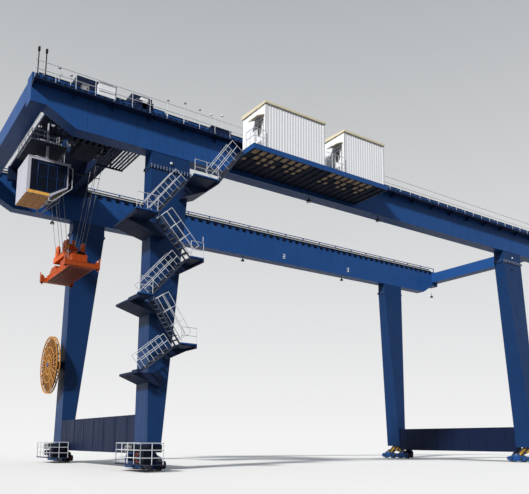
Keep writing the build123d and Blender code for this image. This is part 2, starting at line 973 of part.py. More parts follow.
def make_hoist_machinery():
    """The rope drum between its stool and gearbox, with the motor beside it."""
    x = leg_left + trolley_centre
    low, top = trolley_levels()
    floor = top + trolley_deck_thickness
    z = floor + drum_radius + drum_lift
    y0 = sheave_offset_y * 2 + drum_gap
    y1 = y0 + drum_length
    y2 = y1 + gearbox_depth
    drum = rod_y(y0, y1, x, z, drum_radius)
    stool = block(x - stool_half_width, x + stool_half_width, y0 - drum_lift, y0, floor, z + drum_lift)
    gearbox = block(
        x - motor_offset - motor_radius, x + gearbox_half_width, y1, y2, floor, z + motor_radius,
    )
    motor_end = y1 - motor_length
    motor = rod_y(motor_end, y1, x - motor_offset, z, motor_radius)
    motor_stool = block(
        x - motor_offset - motor_stool_half_width, x - motor_offset + motor_stool_half_width,
        motor_end, y1, floor, z,
    )
    return fused([drum, stool, gearbox, motor, motor_stool])


def make_deck_handrails():
    """Handrails on the trolley deck's two ends."""
    x = leg_left + trolley_centre
    low, top = trolley_levels()
    z = top + trolley_deck_thickness
    half = handrail_bar / 2
    y_end = side_beam_y() - side_beam_width / 2 - half
    panels = []
    for place in (x - deck_half_length + half, x + deck_half_length - half):
        panel = rail_panel(((-y_end, z), (y_end, z)), 0, deck_rail_height, handrail_bar, post_spacing)
        panels.append(Pos(place, 0, 0) * Rot(0, 0, 90) * panel)
    return Compound(panels)


def cab_outline(inset):
    """The cab's side outline, drawn in by a wall's thickness."""
    return [
        (leg_left + cab_back + inset, cab_bottom + inset),
        (leg_left + cab_floor_front - inset * 0.5, cab_bottom + inset),
        (leg_left + cab_front - inset, cab_bottom + cab_slope_rise),
        (leg_left + cab_front - inset, cab_top - inset),
        (leg_left + cab_back + inset, cab_top - inset),
    ]


def cab_window():
    """The opening in the cab's front."""
    return block(
        leg_left + cab_floor_front - cab_wall, leg_left + cab_front + cab_wall,
        cab_near + 2 * cab_wall, cab_far - 2 * cab_wall,
        cab_bottom + 3 * cab_wall, cab_top - 5 * cab_wall,
    )


def cab_side_window(y0, y1):
    """A side window's outline, which follows the sloping front, made thick from y0 to y1."""
    low = cab_bottom + 4 * cab_wall
    high = cab_top - 5 * cab_wall
    back = leg_left + cab_back + cab_window_offset
    front = leg_left + cab_front - 3 * cab_wall
    outline = [
        (back, low), (leg_left + cab_floor_front, low),
        (front, cab_bottom + cab_slope_rise + cab_wall), (front, high), (back, high),
    ]
    return plate_xz(outline, y0, y1)


def make_cab_shell():
    """The operator's cab: a hollow housing with windows, hung from the trolley by two posts."""
    shell = plate_xz(cab_outline(0), cab_near, cab_far)
    shell = shell - plate_xz(cab_outline(cab_wall), cab_near + cab_wall, cab_far - cab_wall)
    shell = shell - cab_window()
    shell = shell - cab_side_window(cab_near - cab_wall, cab_far + cab_wall)
    low, top = trolley_levels()
    x = leg_left + trolley_centre
    pieces = [shell]
    beam_middle = x - cross_beam_half_spacing
    post_x = leg_left + cab_back + cab_post_offset
    half = cab_hanger / 2
    for y in (cab_near + cab_hanger, cab_far - cab_hanger):
        pieces.append(block(post_x - half, post_x + half, y - half, y + half, cab_top, low))
        pieces.append(block(post_x - half, beam_middle, y - half, y + half, low - cab_hanger, low))
    floor = cab_top + cab_platform_rise
    pieces.append(block(
        leg_left + cab_back, post_x + cab_post_offset,
        cab_near - cab_platform_reach, cab_far + cab_platform_reach,
        floor, floor + cab_platform_plate,
    ))
    return fused(pieces)


def make_cab_glass():
    """The panes of the cab's sloping and upright front and of its sides."""
    outer = plate_xz(cab_outline(glass_inset), cab_near, cab_far)
    inner = plate_xz(cab_outline(glass_inset + glass_thickness), cab_near - cab_wall, cab_far + cab_wall)
    front = (outer - inner) & cab_window()
    near = cab_side_window(cab_near + glass_inset, cab_near + glass_inset + glass_thickness)
    far = cab_side_window(cab_far - glass_inset - glass_thickness, cab_far - glass_inset)
    return Compound([front, near, far])


def make_spreader_frame():
    """The spreader's main box with four through tubes for the sliding beams."""
    x = leg_left + trolley_centre
    low = spreader_bottom + twistlock_length
    tube_depth = slide_beam_depth + 2 * slide_gap
    high = low + tube_depth + 2 * frame_wall
    half_width = outer_slide_offset + slide_beam_width / 2 + slide_gap + frame_wall
    frame = block(x - half_width, x + half_width, -frame_half_length, frame_half_length, low, high)
    for offset in (-outer_slide_offset, -inner_slide_offset, inner_slide_offset, outer_slide_offset):
        half = slide_beam_width / 2 + slide_gap
        frame = frame - block(
            x + offset - half, x + offset + half,
            -2 * frame_half_length, 2 * frame_half_length,
            low + frame_wall, low + frame_wall + tube_depth,
        )
    for side in (-1, 1):
        frame = frame + block(
            x - pack_half_width, x + pack_half_width,
            side * pack_inner, side * (pack_inner + pack_length), high, high + pack_height,
        )
    return frame


def spreader_top():
    """The top of the spreader's main box."""
    return spreader_bottom + twistlock_length + slide_beam_depth + 2 * slide_gap + 2 * frame_wall


def make_spreader_arm(side):
    """A telescopic arm: two sliding beams and an end beam with corner twistlocks."""
    x = leg_left + trolley_centre
    offset = inner_slide_offset if side < 0 else outer_slide_offset
    low = spreader_bottom + twistlock_length + frame_wall + slide_gap
    end_outer = spreader_half_length
    end_inner = spreader_half_length - end_beam_width
    end_middle = (end_inner + end_outer) / 2
    beam_bottom = spreader_bottom + twistlock_length
    pieces = [block(
        x - spreader_half_width, x + spreader_half_width,
        end_inner, end_outer, beam_bottom, beam_bottom + end_beam_depth,
    )]
    for shift in (-offset, offset):
        pieces.append(block(
            x + shift - slide_beam_width / 2, x + shift + slide_beam_width / 2,
            -slide_beam_inner_end, end_inner, low, low + slide_beam_depth,
        ))
    for corner in (-1, 1):
        corner_x = x + corner * (spreader_half_width - twistlock_inset)
        place = Pos(corner_x, spreader_half_length - twistlock_inset, spreader_bottom + twistlock_length / 2)
        pieces.append(place * Cylinder(twistlock_radius, twistlock_length))
        top = beam_bottom + end_beam_depth
        pieces.append(block(
            corner_x - twistlock_inset, corner_x + twistlock_inset,
            end_inner, end_outer, top, top + corner_box_height,
        ))
        edge = x + corner * spreader_half_width
        tip = top + guide_height
        guide = [(end_inner, top), (end_outer, top), (end_outer, tip), (end_middle, tip)]
        pieces.append(plate_yz(guide, edge - corner * guide_plate, edge))
    arm = fused(pieces)
    if side < 0:
        arm = mirrored_y(arm)
    return arm


def sheave_places():
    """The sheaves' middles, as X, Y pairs."""
    x = leg_left + trolley_centre
    offset_x = headblock_half_width - sheave_edge
    return [(x + side_x * offset_x, side_y * sheave_offset_y) for side_x in (-1, 1) for side_y in (-1, 1)]


def make_sheave(x, y, z):
    """A grooved sheave between two cheek plates that stand on the headblock."""
    half = sheave_width / 2
    rim = (
        (0, 0), (0, sheave_radius), (half * 0.4, sheave_radius), (half, sheave_radius - 2 * rope_radius),
        (half * 1.6, sheave_radius), (2 * half, sheave_radius), (2 * half, 0),
    )
    profile = make_face(Polyline(*[(0, radius, along) for along, radius in rim], close=True))
    wheel = Pos(x - half, y, z) * Rot(0, 90, 0) * revolve(profile, axis=Axis.Z)
    low = z - sheave_radius
    outline = [
        (y - sheave_radius * 0.7, low), (y + sheave_radius * 0.7, low),
        (y + sheave_radius * 0.3, z + sheave_radius * 0.35),
        (y - sheave_radius * 0.3, z + sheave_radius * 0.35),
    ]
    pieces = [wheel]
    for side in (-1, 1):
        low_x = x + side * (half + cheek_plate / 2) - cheek_plate / 2
        pieces.append(plate_yz(outline, low_x, low_x + cheek_plate))
    return pieces


def make_headblock():
    """The headblock on the spreader: a frame on a trunk, four rope sheaves and their cheeks."""
    x = leg_left + trolley_centre
    z0 = spreader_top()
    z1 = z0 + headblock_rise
    z2 = z1 + headblock_depth
    trunk = loft([
        Plane.XY.offset(z0) * Pos(x, 0) * Rectangle(2 * trunk_half_width, 2 * trunk_half_length),
        Plane.XY.offset(z1) * Pos(x, 0) * Rectangle(1.5 * trunk_half_width, 1.5 * trunk_half_length),
    ])
    pieces = [trunk]
    for side in (-1, 1):
        pieces.append(block(
            x + side * headblock_half_width, x + side * (headblock_half_width - 2 * sheave_edge),
            -headblock_half_length, headblock_half_length, z1, z2,
        ))
        pieces.append(block(
            x - headblock_half_width, x + headblock_half_width,
            side * headblock_half_length, side * (headblock_half_length - sheave_edge), z1, z2,
        ))
    pieces.append(block(
        x - headblock_half_width, x + headblock_half_width,
        -trunk_half_length, trunk_half_length, z1, z1 + headblock_depth / 2,
    ))
    for place_x, place_y in sheave_places():
        pieces.extend(make_sheave(place_x, place_y, z2 + sheave_radius))
    return fused(pieces)


def make_ropes():
    """Eight hoist ropes that fan out from the headblock's sheaves up to the trolley."""
    x = leg_left + trolley_centre
    low = spreader_top() + headblock_rise + headblock_depth + sheave_radius
    beam_low, beam_top = trolley_levels()
    above = block(
        x - trolley_half_length, x + trolley_half_length, -girder_inner, girder_inner, beam_low, beam_top,
    )
    ropes = []
    for side_x in (-1, 1):
        for side_y in (-1, 1):
            for edge in (-1, 1):
                foot = (
                    x + side_x * (headblock_half_width - sheave_edge),
                    side_y * sheave_offset_y + edge * (sheave_radius + 2 * rope_radius),
                    low,
                )
                head = (
                    x + side_x * (cross_beam_half_spacing - cross_beam_width / 2 + rope_anchor_inset),
                    side_y * sheave_offset_y + edge * (sheave_radius + rope_fan_offset),
                    beam_low + 4 * rope_radius,
                )
                ropes.append(bar(foot, head, 2 * rope_radius) - above)
    return Compound(ropes)


def reel_place():
    """The X place of the reel's middle."""
    return leg_left - reel_offset_x


def reel_ring(radius, width, height):
    """A flat ring about Z, its outer radius given."""
    return Cylinder(radius, height) - Cylinder(radius - width, height + 2)


def make_reel():
    """The cable reel: two spoked side discs on a hub, with the winding drum between them."""
    half = reel_width / 2
    pieces = [
        Cylinder(reel_hub_radius, reel_width),
        reel_ring(reel_core_radius, reel_rim, reel_width),
    ]
    for side in (-1, 1):
        level = Pos(0, 0, side * (half - reel_disc / 2))
        pieces.append(level * reel_ring(reel_radius, reel_rim, reel_disc))
        pieces.append(level * reel_ring(reel_middle_radius, reel_rim * 0.7, reel_disc * 0.8))
        for number in range(reel_spokes):
            spoke = Pos((reel_radius - reel_rim + reel_hub_radius) / 2, 0, 0) * Box(
                reel_radius - reel_hub_radius, reel_spoke_width, reel_disc * 0.6,
            )
            pieces.append(level * Rot(0, 0, number * 360 / reel_spokes) * spoke)
    reel = fused(pieces)
    reel = reel - Cylinder(reel_shaft_radius + reel_shaft_gap, 4 * reel_width)
    return Pos(reel_place(), reel_y, reel_z) * Rot(0, 90, 0) * reel


def make_reel_bracket():
    """The reel's shaft, gearbox and arm on the leg's outer face."""
    x = reel_place()
    half = reel_width / 2
    pieces = [
        rod_x(x - half - reel_side_gap, x + half + reel_side_gap + 60, reel_y, reel_z, reel_shaft_radius),
        rod_x(
            x - half - reel_side_gap - reel_cap, x - half - reel_side_gap,
            reel_y, reel_z, 1.5 * reel_shaft_radius,
        ),
        block(x + half + reel_side_gap, leg_left, reel_y - 160, reel_y + 160, reel_z - 160, reel_z + 160),
    ]
    return fused(pieces)


def build():
    """Every piece of the crane, by name."""
    nodes = {
        "girder_near": make_girder(-1),
        "girder_far": make_girder(1),
        "end_tie_left": make_end_tie(girder_left, girder_left + end_tie_width),
        "end_tie_right": make_end_tie(girder_right - end_tie_width, girder_right),
        "trolley_rails": make_trolley_rails(),
        "walkway_near": mirrored_y(make_walkway()),
        "walkway_far": make_walkway(),
        "handrail_near": mirrored_y(make_handrail()),
        "handrail_far": make_handrail(),
        "cable_posts": make_cable_posts(),
        "drive_cages": make_drive_cages(),
        "stair_landings": make_landings(),
        "stair_handrails": make_stair_handrails(),
        "house_platform": make_house_platform(),
        "platform_handrail": make_platform_handrail(),
        "house_1_walls": make_house_walls(house_1_left, house_1_right),
        "house_2_walls": make_house_walls(house_2_left, house_2_right),
        "house_floors": Compound([
            make_house_floor(house_1_left, house_1_right), make_house_floor(house_2_left, house_2_right),
        ]),
        "house_roofs": Compound([
            make_roof(house_1_left, house_1_right), make_roof(house_2_left, house_2_right),
        ]),
        "house_canopies": Compound([make_canopy(house_1_left), make_canopy(house_2_left)]),
        "house_1_door": make_door(house_1_left),
        "house_2_door": make_door(house_2_left),
        "trolley_frame": make_trolley_frame(),
        "trolley_wheels": make_trolley_wheels(),
        "trolley_deck": make_trolley_deck(),
        "deck_handrails": make_deck_handrails(),
        "hoist_machinery": make_hoist_machinery(),
        "cab_shell": make_cab_shell(),
        "cab_glass": make_cab_glass(),
        "hoist_ropes": make_ropes(),
        "headblock": make_headblock(),
        "spreader_frame": make_spreader_frame(),
        "spreader_arm_near": make_spreader_arm(-1),
        "spreader_arm_far": make_spreader_arm(1),
        "reel_bracket": make_reel_bracket(),
        "cable_reel": make_reel(),
    }
    for number, ends in enumerate(flights, start=1):
        nodes[f"stair_flight_{number}"] = make_flight(ends, (number - 1) % 2)
    for side_x, across in ((-1, "left"), (1, "right")):
        nodes[f"sill_{across}"] = make_sill(side_x)
        for side_y, along in ((-1, "near"), (1, "far")):
            corner = f"{along}_{across}"
            nodes[f"leg_{corner}"] = make_leg(side_x, side_y)
            nodes[f"rocker_{corner}"] = make_rocker(side_x, side_y)
            nodes[f"bogies_{corner}"] = make_bogies(side_x, side_y)
            nodes[f"wheels_{corner}"] = make_wheels(side_x, side_y)
    return nodes


os.makedirs("parts", exist_ok=True)
for name, shape in build().items():
    export_step(Pos(0, gantry_middle, 0) * shape, f"parts/{name}.step")
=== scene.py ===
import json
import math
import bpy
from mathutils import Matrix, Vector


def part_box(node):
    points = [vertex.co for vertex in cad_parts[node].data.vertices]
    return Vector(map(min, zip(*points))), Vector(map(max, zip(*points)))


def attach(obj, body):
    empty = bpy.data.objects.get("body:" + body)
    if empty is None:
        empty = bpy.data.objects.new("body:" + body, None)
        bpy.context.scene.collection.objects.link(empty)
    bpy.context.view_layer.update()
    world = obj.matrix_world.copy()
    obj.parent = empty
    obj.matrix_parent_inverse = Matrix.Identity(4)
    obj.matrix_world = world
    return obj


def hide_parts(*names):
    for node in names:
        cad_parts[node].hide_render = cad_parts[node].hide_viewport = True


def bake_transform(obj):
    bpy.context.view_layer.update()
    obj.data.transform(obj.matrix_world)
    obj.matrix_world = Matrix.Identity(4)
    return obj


bl_info = {
    "name": "Rail Mounted Gantry Crane",
    "version": (1, 0, 0),
    "blender": (4, 5, 0),
    "location": "View3D > Sidebar > Gantry Crane",
    "description": "Dresses the packed model of a rail mounted gantry crane",
    "category": "Object",
}

import bpy
from mathutils import Matrix, Vector

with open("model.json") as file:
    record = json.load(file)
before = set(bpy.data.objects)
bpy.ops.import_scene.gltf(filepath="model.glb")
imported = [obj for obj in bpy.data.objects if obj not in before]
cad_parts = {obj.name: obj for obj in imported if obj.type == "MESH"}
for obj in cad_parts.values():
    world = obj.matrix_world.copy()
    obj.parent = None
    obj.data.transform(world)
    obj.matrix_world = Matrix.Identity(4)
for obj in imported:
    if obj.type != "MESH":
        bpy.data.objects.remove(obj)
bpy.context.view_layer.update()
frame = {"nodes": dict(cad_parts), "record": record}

# Places read from the frame
near_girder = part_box("girder_near")
far_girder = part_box("girder_far")
girder_top = near_girder[1].z
flange_reach = 0.045
leg_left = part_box("leg_near_left")[0].x + flange_reach
leg_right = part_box("leg_near_right")[1].x - flange_reach
middle_y = (near_girder[0].y + far_girder[1].y) / 2


class CranePaints(bpy.types.PropertyGroup):
    """The crane's paint colours."""

    steel_blue: bpy.props.FloatVectorProperty(
        name="Steel blue", description="Paint of the girders, legs and sills",
        default=(0.015, 0.076, 0.265), size=3, min=0, max=1, subtype="COLOR",
    )
    house_white: bpy.props.FloatVectorProperty(
        name="House white", description="Coating of the electric houses' sheets",
        default=(0.86, 0.88, 0.93), size=3, min=0, max=1, subtype="COLOR",
    )
    trim_cream: bpy.props.FloatVectorProperty(
        name="Trim cream", description="Flashings along the roofs and canopies",
        default=(0.74, 0.68, 0.5), size=3, min=0, max=1, subtype="COLOR",
    )
    rail_white: bpy.props.FloatVectorProperty(
        name="Rail white", description="Paint of the handrails",
        default=(0.62, 0.65, 0.7), size=3, min=0, max=1, subtype="COLOR",
    )
    spreader_orange: bpy.props.FloatVectorProperty(
        name="Spreader orange", description="Paint of the headblock and spreader",
        default=(0.82, 0.135, 0.015), size=3, min=0, max=1, subtype="COLOR",
    )
    reel_brown: bpy.props.FloatVectorProperty(
        name="Reel brown", description="Paint of the cable reel",
        default=(0.52, 0.235, 0.045), size=3, min=0, max=1, subtype="COLOR",
    )


class CraneStageSizes(bpy.types.PropertyGroup):
    """The lamps, floor and background."""

    sun_strength: bpy.props.FloatProperty(
        name="Sun strength", description="Light of the sun from the crane's left", default=4.1, min=0,
    )
    sky_strength: bpy.props.FloatProperty(
        name="Sky strength", description="Light of the sky from above", default=0.42, min=0,
    )
    floor_half: bpy.props.FloatProperty(
        name="Floor half side", description="Half the side of the square floor", default=900.0, min=1,
        unit="LENGTH",
    )
    background_top: bpy.props.FloatVectorProperty(
        name="Background top", description="Background colour high up",
        default=(0.445, 0.465, 0.48), size=3, min=0, max=1, subtype="COLOR",
    )
    background_low: bpy.props.FloatVectorProperty(
        name="Background low", description="Background colour at the floor",
        default=(0.9, 0.9, 0.905), size=3, min=0, max=1, subtype="COLOR",
    )


class CraneRailSizes(bpy.types.PropertyGroup):
    """The handrails."""

    tube_radius: bpy.props.FloatProperty(
        name="Tube radius", description="Radius of the handrail tubes", default=0.0105, min=0.002,
        unit="LENGTH",
    )
    post_spacing: bpy.props.FloatProperty(
        name="Post spacing", description="Distance between handrail posts", default=0.6, min=0.1,
        unit="LENGTH",
    )
    kick_height: bpy.props.FloatProperty(
        name="Kick plate height", description="Height of the kick plates", default=0.075, min=0.01,
        unit="LENGTH",
    )


class CraneStairSizes(bpy.types.PropertyGroup):
    """The zigzag stair."""

    tread_bars: bpy.props.IntProperty(
        name="Tread bars", description="Bars in each grating tread", default=4, min=2,
    )
    grating_pitch: bpy.props.FloatProperty(
        name="Grating pitch", description="Distance between a landing's grating bars",
        default=0.045, min=0.01, unit="LENGTH",
    )


class CraneHouseSizes(bpy.types.PropertyGroup):
    """The electric houses' cladding."""

    rib_pitch: bpy.props.FloatProperty(
        name="Rib pitch", description="Distance between the sheets' ribs", default=0.115, min=0.02,
        unit="LENGTH",
    )
    rib_depth: bpy.props.FloatProperty(
        name="Rib depth", description="How far the ribs stand out", default=0.007, min=0.002, unit="LENGTH",
    )


class CraneTrolleySizes(bpy.types.PropertyGroup):
    """The trolley and the cab."""

    drum_rope_radius: bpy.props.FloatProperty(
        name="Drum rope radius", description="Radius of the rope on the drum",
        default=0.011, min=0.002, unit="LENGTH",
    )
    motor_fins: bpy.props.IntProperty(
        name="Motor fins", description="Cooling fins round a motor", default=28, min=6,
    )


class CraneGirderSizes(bpy.types.PropertyGroup):
    """The girders' and legs' fittings."""

    bolt_pitch: bpy.props.FloatProperty(
        name="Bolt pitch", description="Distance between the bolts of the leg flanges",
        default=0.11, min=0.04, unit="LENGTH",
    )
    digit_height: bpy.props.FloatProperty(
        name="Digit height", description="Height of the bay numbers on the far girder",
        default=0.24, min=0.05, unit="LENGTH",
    )
    mast_height: bpy.props.FloatProperty(
        name="Mast height", description="Height of the two masts at the near girder's end",
        default=0.75, min=0.1, max=0.9, unit="LENGTH",
    )


class CraneDriveSizes(bpy.types.PropertyGroup):
    """The gantry drive at the corners."""

    guard_radius: bpy.props.FloatProperty(
        name="Guard radius", description="Radius of the guards' tubes", default=0.013, min=0.004,
        unit="LENGTH",
    )
    guard_post_spacing: bpy.props.FloatProperty(
        name="Guard post spacing", description="Distance between the guards' posts", default=0.45, min=0.1,
        unit="LENGTH",
    )


class NodeBuilder:
    """Makes and joins the nodes of one tree."""

    def __init__(self, tree):
        self.tree = tree

    def make(self, kind, **settings):
        node = self.tree.nodes.new(kind)
        for key, value in settings.items():
            setattr(node, key, value)
        return node

    def feed(self, node, name, value):
        socket = node.inputs[name]
        if isinstance(value, bpy.types.NodeSocket):
            self.tree.links.new(value, socket)
        else:
            socket.default_value = value

    def wired(self, kind, inputs, **settings):
        """A node with its inputs fed."""
        node = self.make(kind, **settings)
        for name, value in inputs.items():
            self.feed(node, name, value)
        return node

    def math(self, operation, first, second=0.0):
        return self.wired("ShaderNodeMath", {0: first, 1: second}, operation=operation).outputs[0]

    def split(self, vector):
        return self.wired("ShaderNodeSeparateXYZ", {0: vector}).outputs

    def noise(self, place, scale, detail=4.0, roughness=0.55):
        inputs = {"Vector": place, "Scale": scale, "Detail": detail, "Roughness": roughness}
        return self.wired("ShaderNodeTexNoise", inputs).outputs["Fac"]

    def stretched(self, place, scale):
        return self.wired("ShaderNodeMapping", {"Vector": place, "Scale": scale}).outputs[0]

    def ramped(self, value, low, high, start=0.0, end=1.0):
        inputs = {"Value": value, "From Min": low, "From Max": high, "To Min": start, "To Max": end}
        return self.wired("ShaderNodeMapRange", inputs).outputs[0]

    def mixed(self, share, first, second):
        return self.wired("ShaderNodeMix", {0: share, 6: first, 7: second}, data_type="RGBA").outputs[2]


def opaque(colour):
    """A colour with full opacity."""
    return (colour[0], colour[1], colour[2], 1.0)


def shaded(colour, factor):
    """A colour made darker or lighter."""
    return tuple(min(1.0, part * factor) for part in colour)


def new_surface(name):
    """A material with its node builder, shader and Object coordinates."""
    material = bpy.data.materials.new(name)
    material.use_nodes = True
    builder = NodeBuilder(material.node_tree)
    shader = material.node_tree.nodes["Principled BSDF"]
    place = builder.make("ShaderNodeTexCoord").outputs["Object"]
    return material, builder, shader, place


def bump_into(builder, shader, height, strength, distance):
    """Drives the shader's normal from a height."""
    bump = builder.wired("ShaderNodeBump", {"Strength": strength, "Distance": distance, "Height": height})
    builder.feed(shader, "Normal", bump.outputs[0])


def seam_lines(builder, place, spacing, width):
    """One where a plate seam crosses the girder, every so many metres along X."""
    turn = builder.math("FRACT", builder.math("DIVIDE", builder.split(place)[0], spacing))
    return builder.math("LESS_THAN", turn, width / spacing)


def painted_steel(
    name, colour, wear=0.25, streaks=0.35, seams=0.0, roughness=0.42, dirt=(0.03, 0.028, 0.026),
):
    """Weathered paint: faded patches, dirt that runs down, orange peel and, if asked, plate seams."""
    material, builder, shader, place = new_surface(name)
    patches = builder.ramped(builder.noise(place, 0.7, 5.0), 0.35, 0.7, 0.0, wear)
    faded = tuple(part * 1.15 + 0.008 for part in colour)
    tint = builder.mixed(patches, opaque(colour), opaque(faded))
    runs = builder.noise(builder.stretched(place, (4.0, 4.0, 0.35)), 2.2, 7.0, 0.65)
    tint = builder.mixed(builder.ramped(runs, 0.5, 0.78, 0.0, streaks), tint, opaque(dirt))
    height = builder.noise(place, 55.0, 2.0)
    if seams:
        line = seam_lines(builder, place, seams, 0.018)
        tint = builder.mixed(builder.math("MULTIPLY", line, 0.45), tint, opaque(shaded(colour, 0.35)))
        height = builder.math("ADD", height, builder.math("MULTIPLY", line, 2.0))
    builder.feed(shader, "Base Color", tint)
    builder.feed(shader, "Roughness", builder.ramped(runs, 0.3, 0.75, roughness - 0.07, roughness + 0.16))
    shader.inputs["Specular IOR Level"].default_value = 0.14
    bump_into(builder, shader, height, 0.12, 0.004)
    return material


def bare_metal(name, colour, roughness=0.35, metallic=0.85):
    """Dark steel with a brushed, oily surface."""
    material, builder, shader, place = new_surface(name)
    patches = builder.noise(place, 9.0, 6.0, 0.6)
    tint = builder.mixed(builder.ramped(patches, 0.4, 0.7), opaque(colour), opaque(shaded(colour, 0.45)))
    builder.feed(shader, "Base Color", tint)
    builder.feed(shader, "Roughness", builder.ramped(patches, 0.3, 0.8, roughness, roughness + 0.3))
    shader.inputs["Metallic"].default_value = metallic
    bump_into(builder, shader, builder.noise(place, 120.0, 2.0), 0.15, 0.001)
    return material


def striped_paint(name):
    """Yellow and black hazard stripes at forty five degrees."""
    material, builder, shader, place = new_surface(name)
    parts = builder.split(place)
    slant = builder.math("ADD", parts[1], parts[2])
    turn = builder.math("FRACT", builder.math("DIVIDE", slant, 0.3))
    black = builder.math("GREATER_THAN", turn, 0.5)
    grime = builder.ramped(builder.noise(place, 5.0, 6.0), 0.42, 0.7, 0.0, 0.75)
    tint = builder.mixed(black, (0.62, 0.36, 0.02, 1), (0.012, 0.012, 0.014, 1))
    tint = builder.mixed(grime, tint, (0.022, 0.02, 0.019, 1))
    builder.feed(shader, "Base Color", tint)
    builder.feed(shader, "Roughness", builder.ramped(grime, 0.0, 0.7, 0.45, 0.8))
    bump_into(builder, shader, builder.noise(place, 60.0, 2.0), 0.15, 0.002)
    return material


def rubber_black(name, colour=(0.012, 0.012, 0.013), roughness=0.7):
    """Rubber, tyre black and matt black paint, and the near-black that paints shade."""
    material, builder, shader, place = new_surface(name)
    dust = builder.ramped(builder.noise(place, 7.0, 6.0), 0.45, 0.75, 0.0, 0.5)
    builder.feed(shader, "Base Color", builder.mixed(dust, opaque(colour), opaque(shaded(colour, 3.5))))
    builder.feed(shader, "Roughness", builder.ramped(dust, 0.0, 0.5, roughness - 0.15, roughness + 0.1))
    shader.inputs["Specular IOR Level"].default_value = 0.1
    bump_into(builder, shader, builder.noise(place, 140.0, 2.0), 0.2, 0.001)
    return material


def chequer_plate(name, colour):
    """Steel floor plate with small raised bars, worn where people walk."""
    material, builder, shader, place = new_surface(name)
    bars = builder.wired("ShaderNodeTexVoronoi", {"Vector": builder.stretched(place, (30.0, 12.0, 30.0))})
    raised = builder.math("LESS_THAN", bars.outputs["Distance"], 0.28)
    worn = builder.ramped(builder.noise(place, 1.6, 6.0), 0.45, 0.75)
    tint = builder.mixed(worn, opaque(colour), opaque(shaded(colour, 2.2)))
    tint = builder.mixed(builder.math("MULTIPLY", raised, 0.3), tint, (0.12, 0.125, 0.13, 1))
    builder.feed(shader, "Base Color", tint)
    builder.feed(shader, "Roughness", builder.ramped(worn, 0.0, 1.0, 0.6, 0.45))
    shader.inputs["Specular IOR Level"].default_value = 0.2
    bump_into(builder, shader, raised, 0.35, 0.004)
    return material


def tinted_glass(name, colour, alpha=0.45):
    """Tinted safety glass with a faint film of dust."""
    material, builder, shader, place = new_surface(name)
    film = builder.noise(place, 3.0, 5.0)
    builder.feed(shader, "Base Color", builder.mixed(film, opaque(colour), opaque(shaded(colour, 1.5))))
    builder.feed(shader, "Roughness", builder.ramped(film, 0.3, 0.8, 0.04, 0.2))
    shader.inputs["Alpha"].default_value = alpha
    shader.inputs["Specular IOR Level"].default_value = 0.7
    return material


def lamp_face(name, colour):
    """The milky lens of a lamp that is off."""
    material, builder, shader, place = new_surface(name)
    cells = builder.noise(place, 40.0, 2.0)
    builder.feed(shader, "Base Color", builder.mixed(cells, opaque(colour), opaque(shaded(colour, 0.8))))
    builder.feed(shader, "Roughness", builder.ramped(cells, 0.2, 0.8, 0.12, 0.3))
    return material


# The finishes, by name
looks = {}


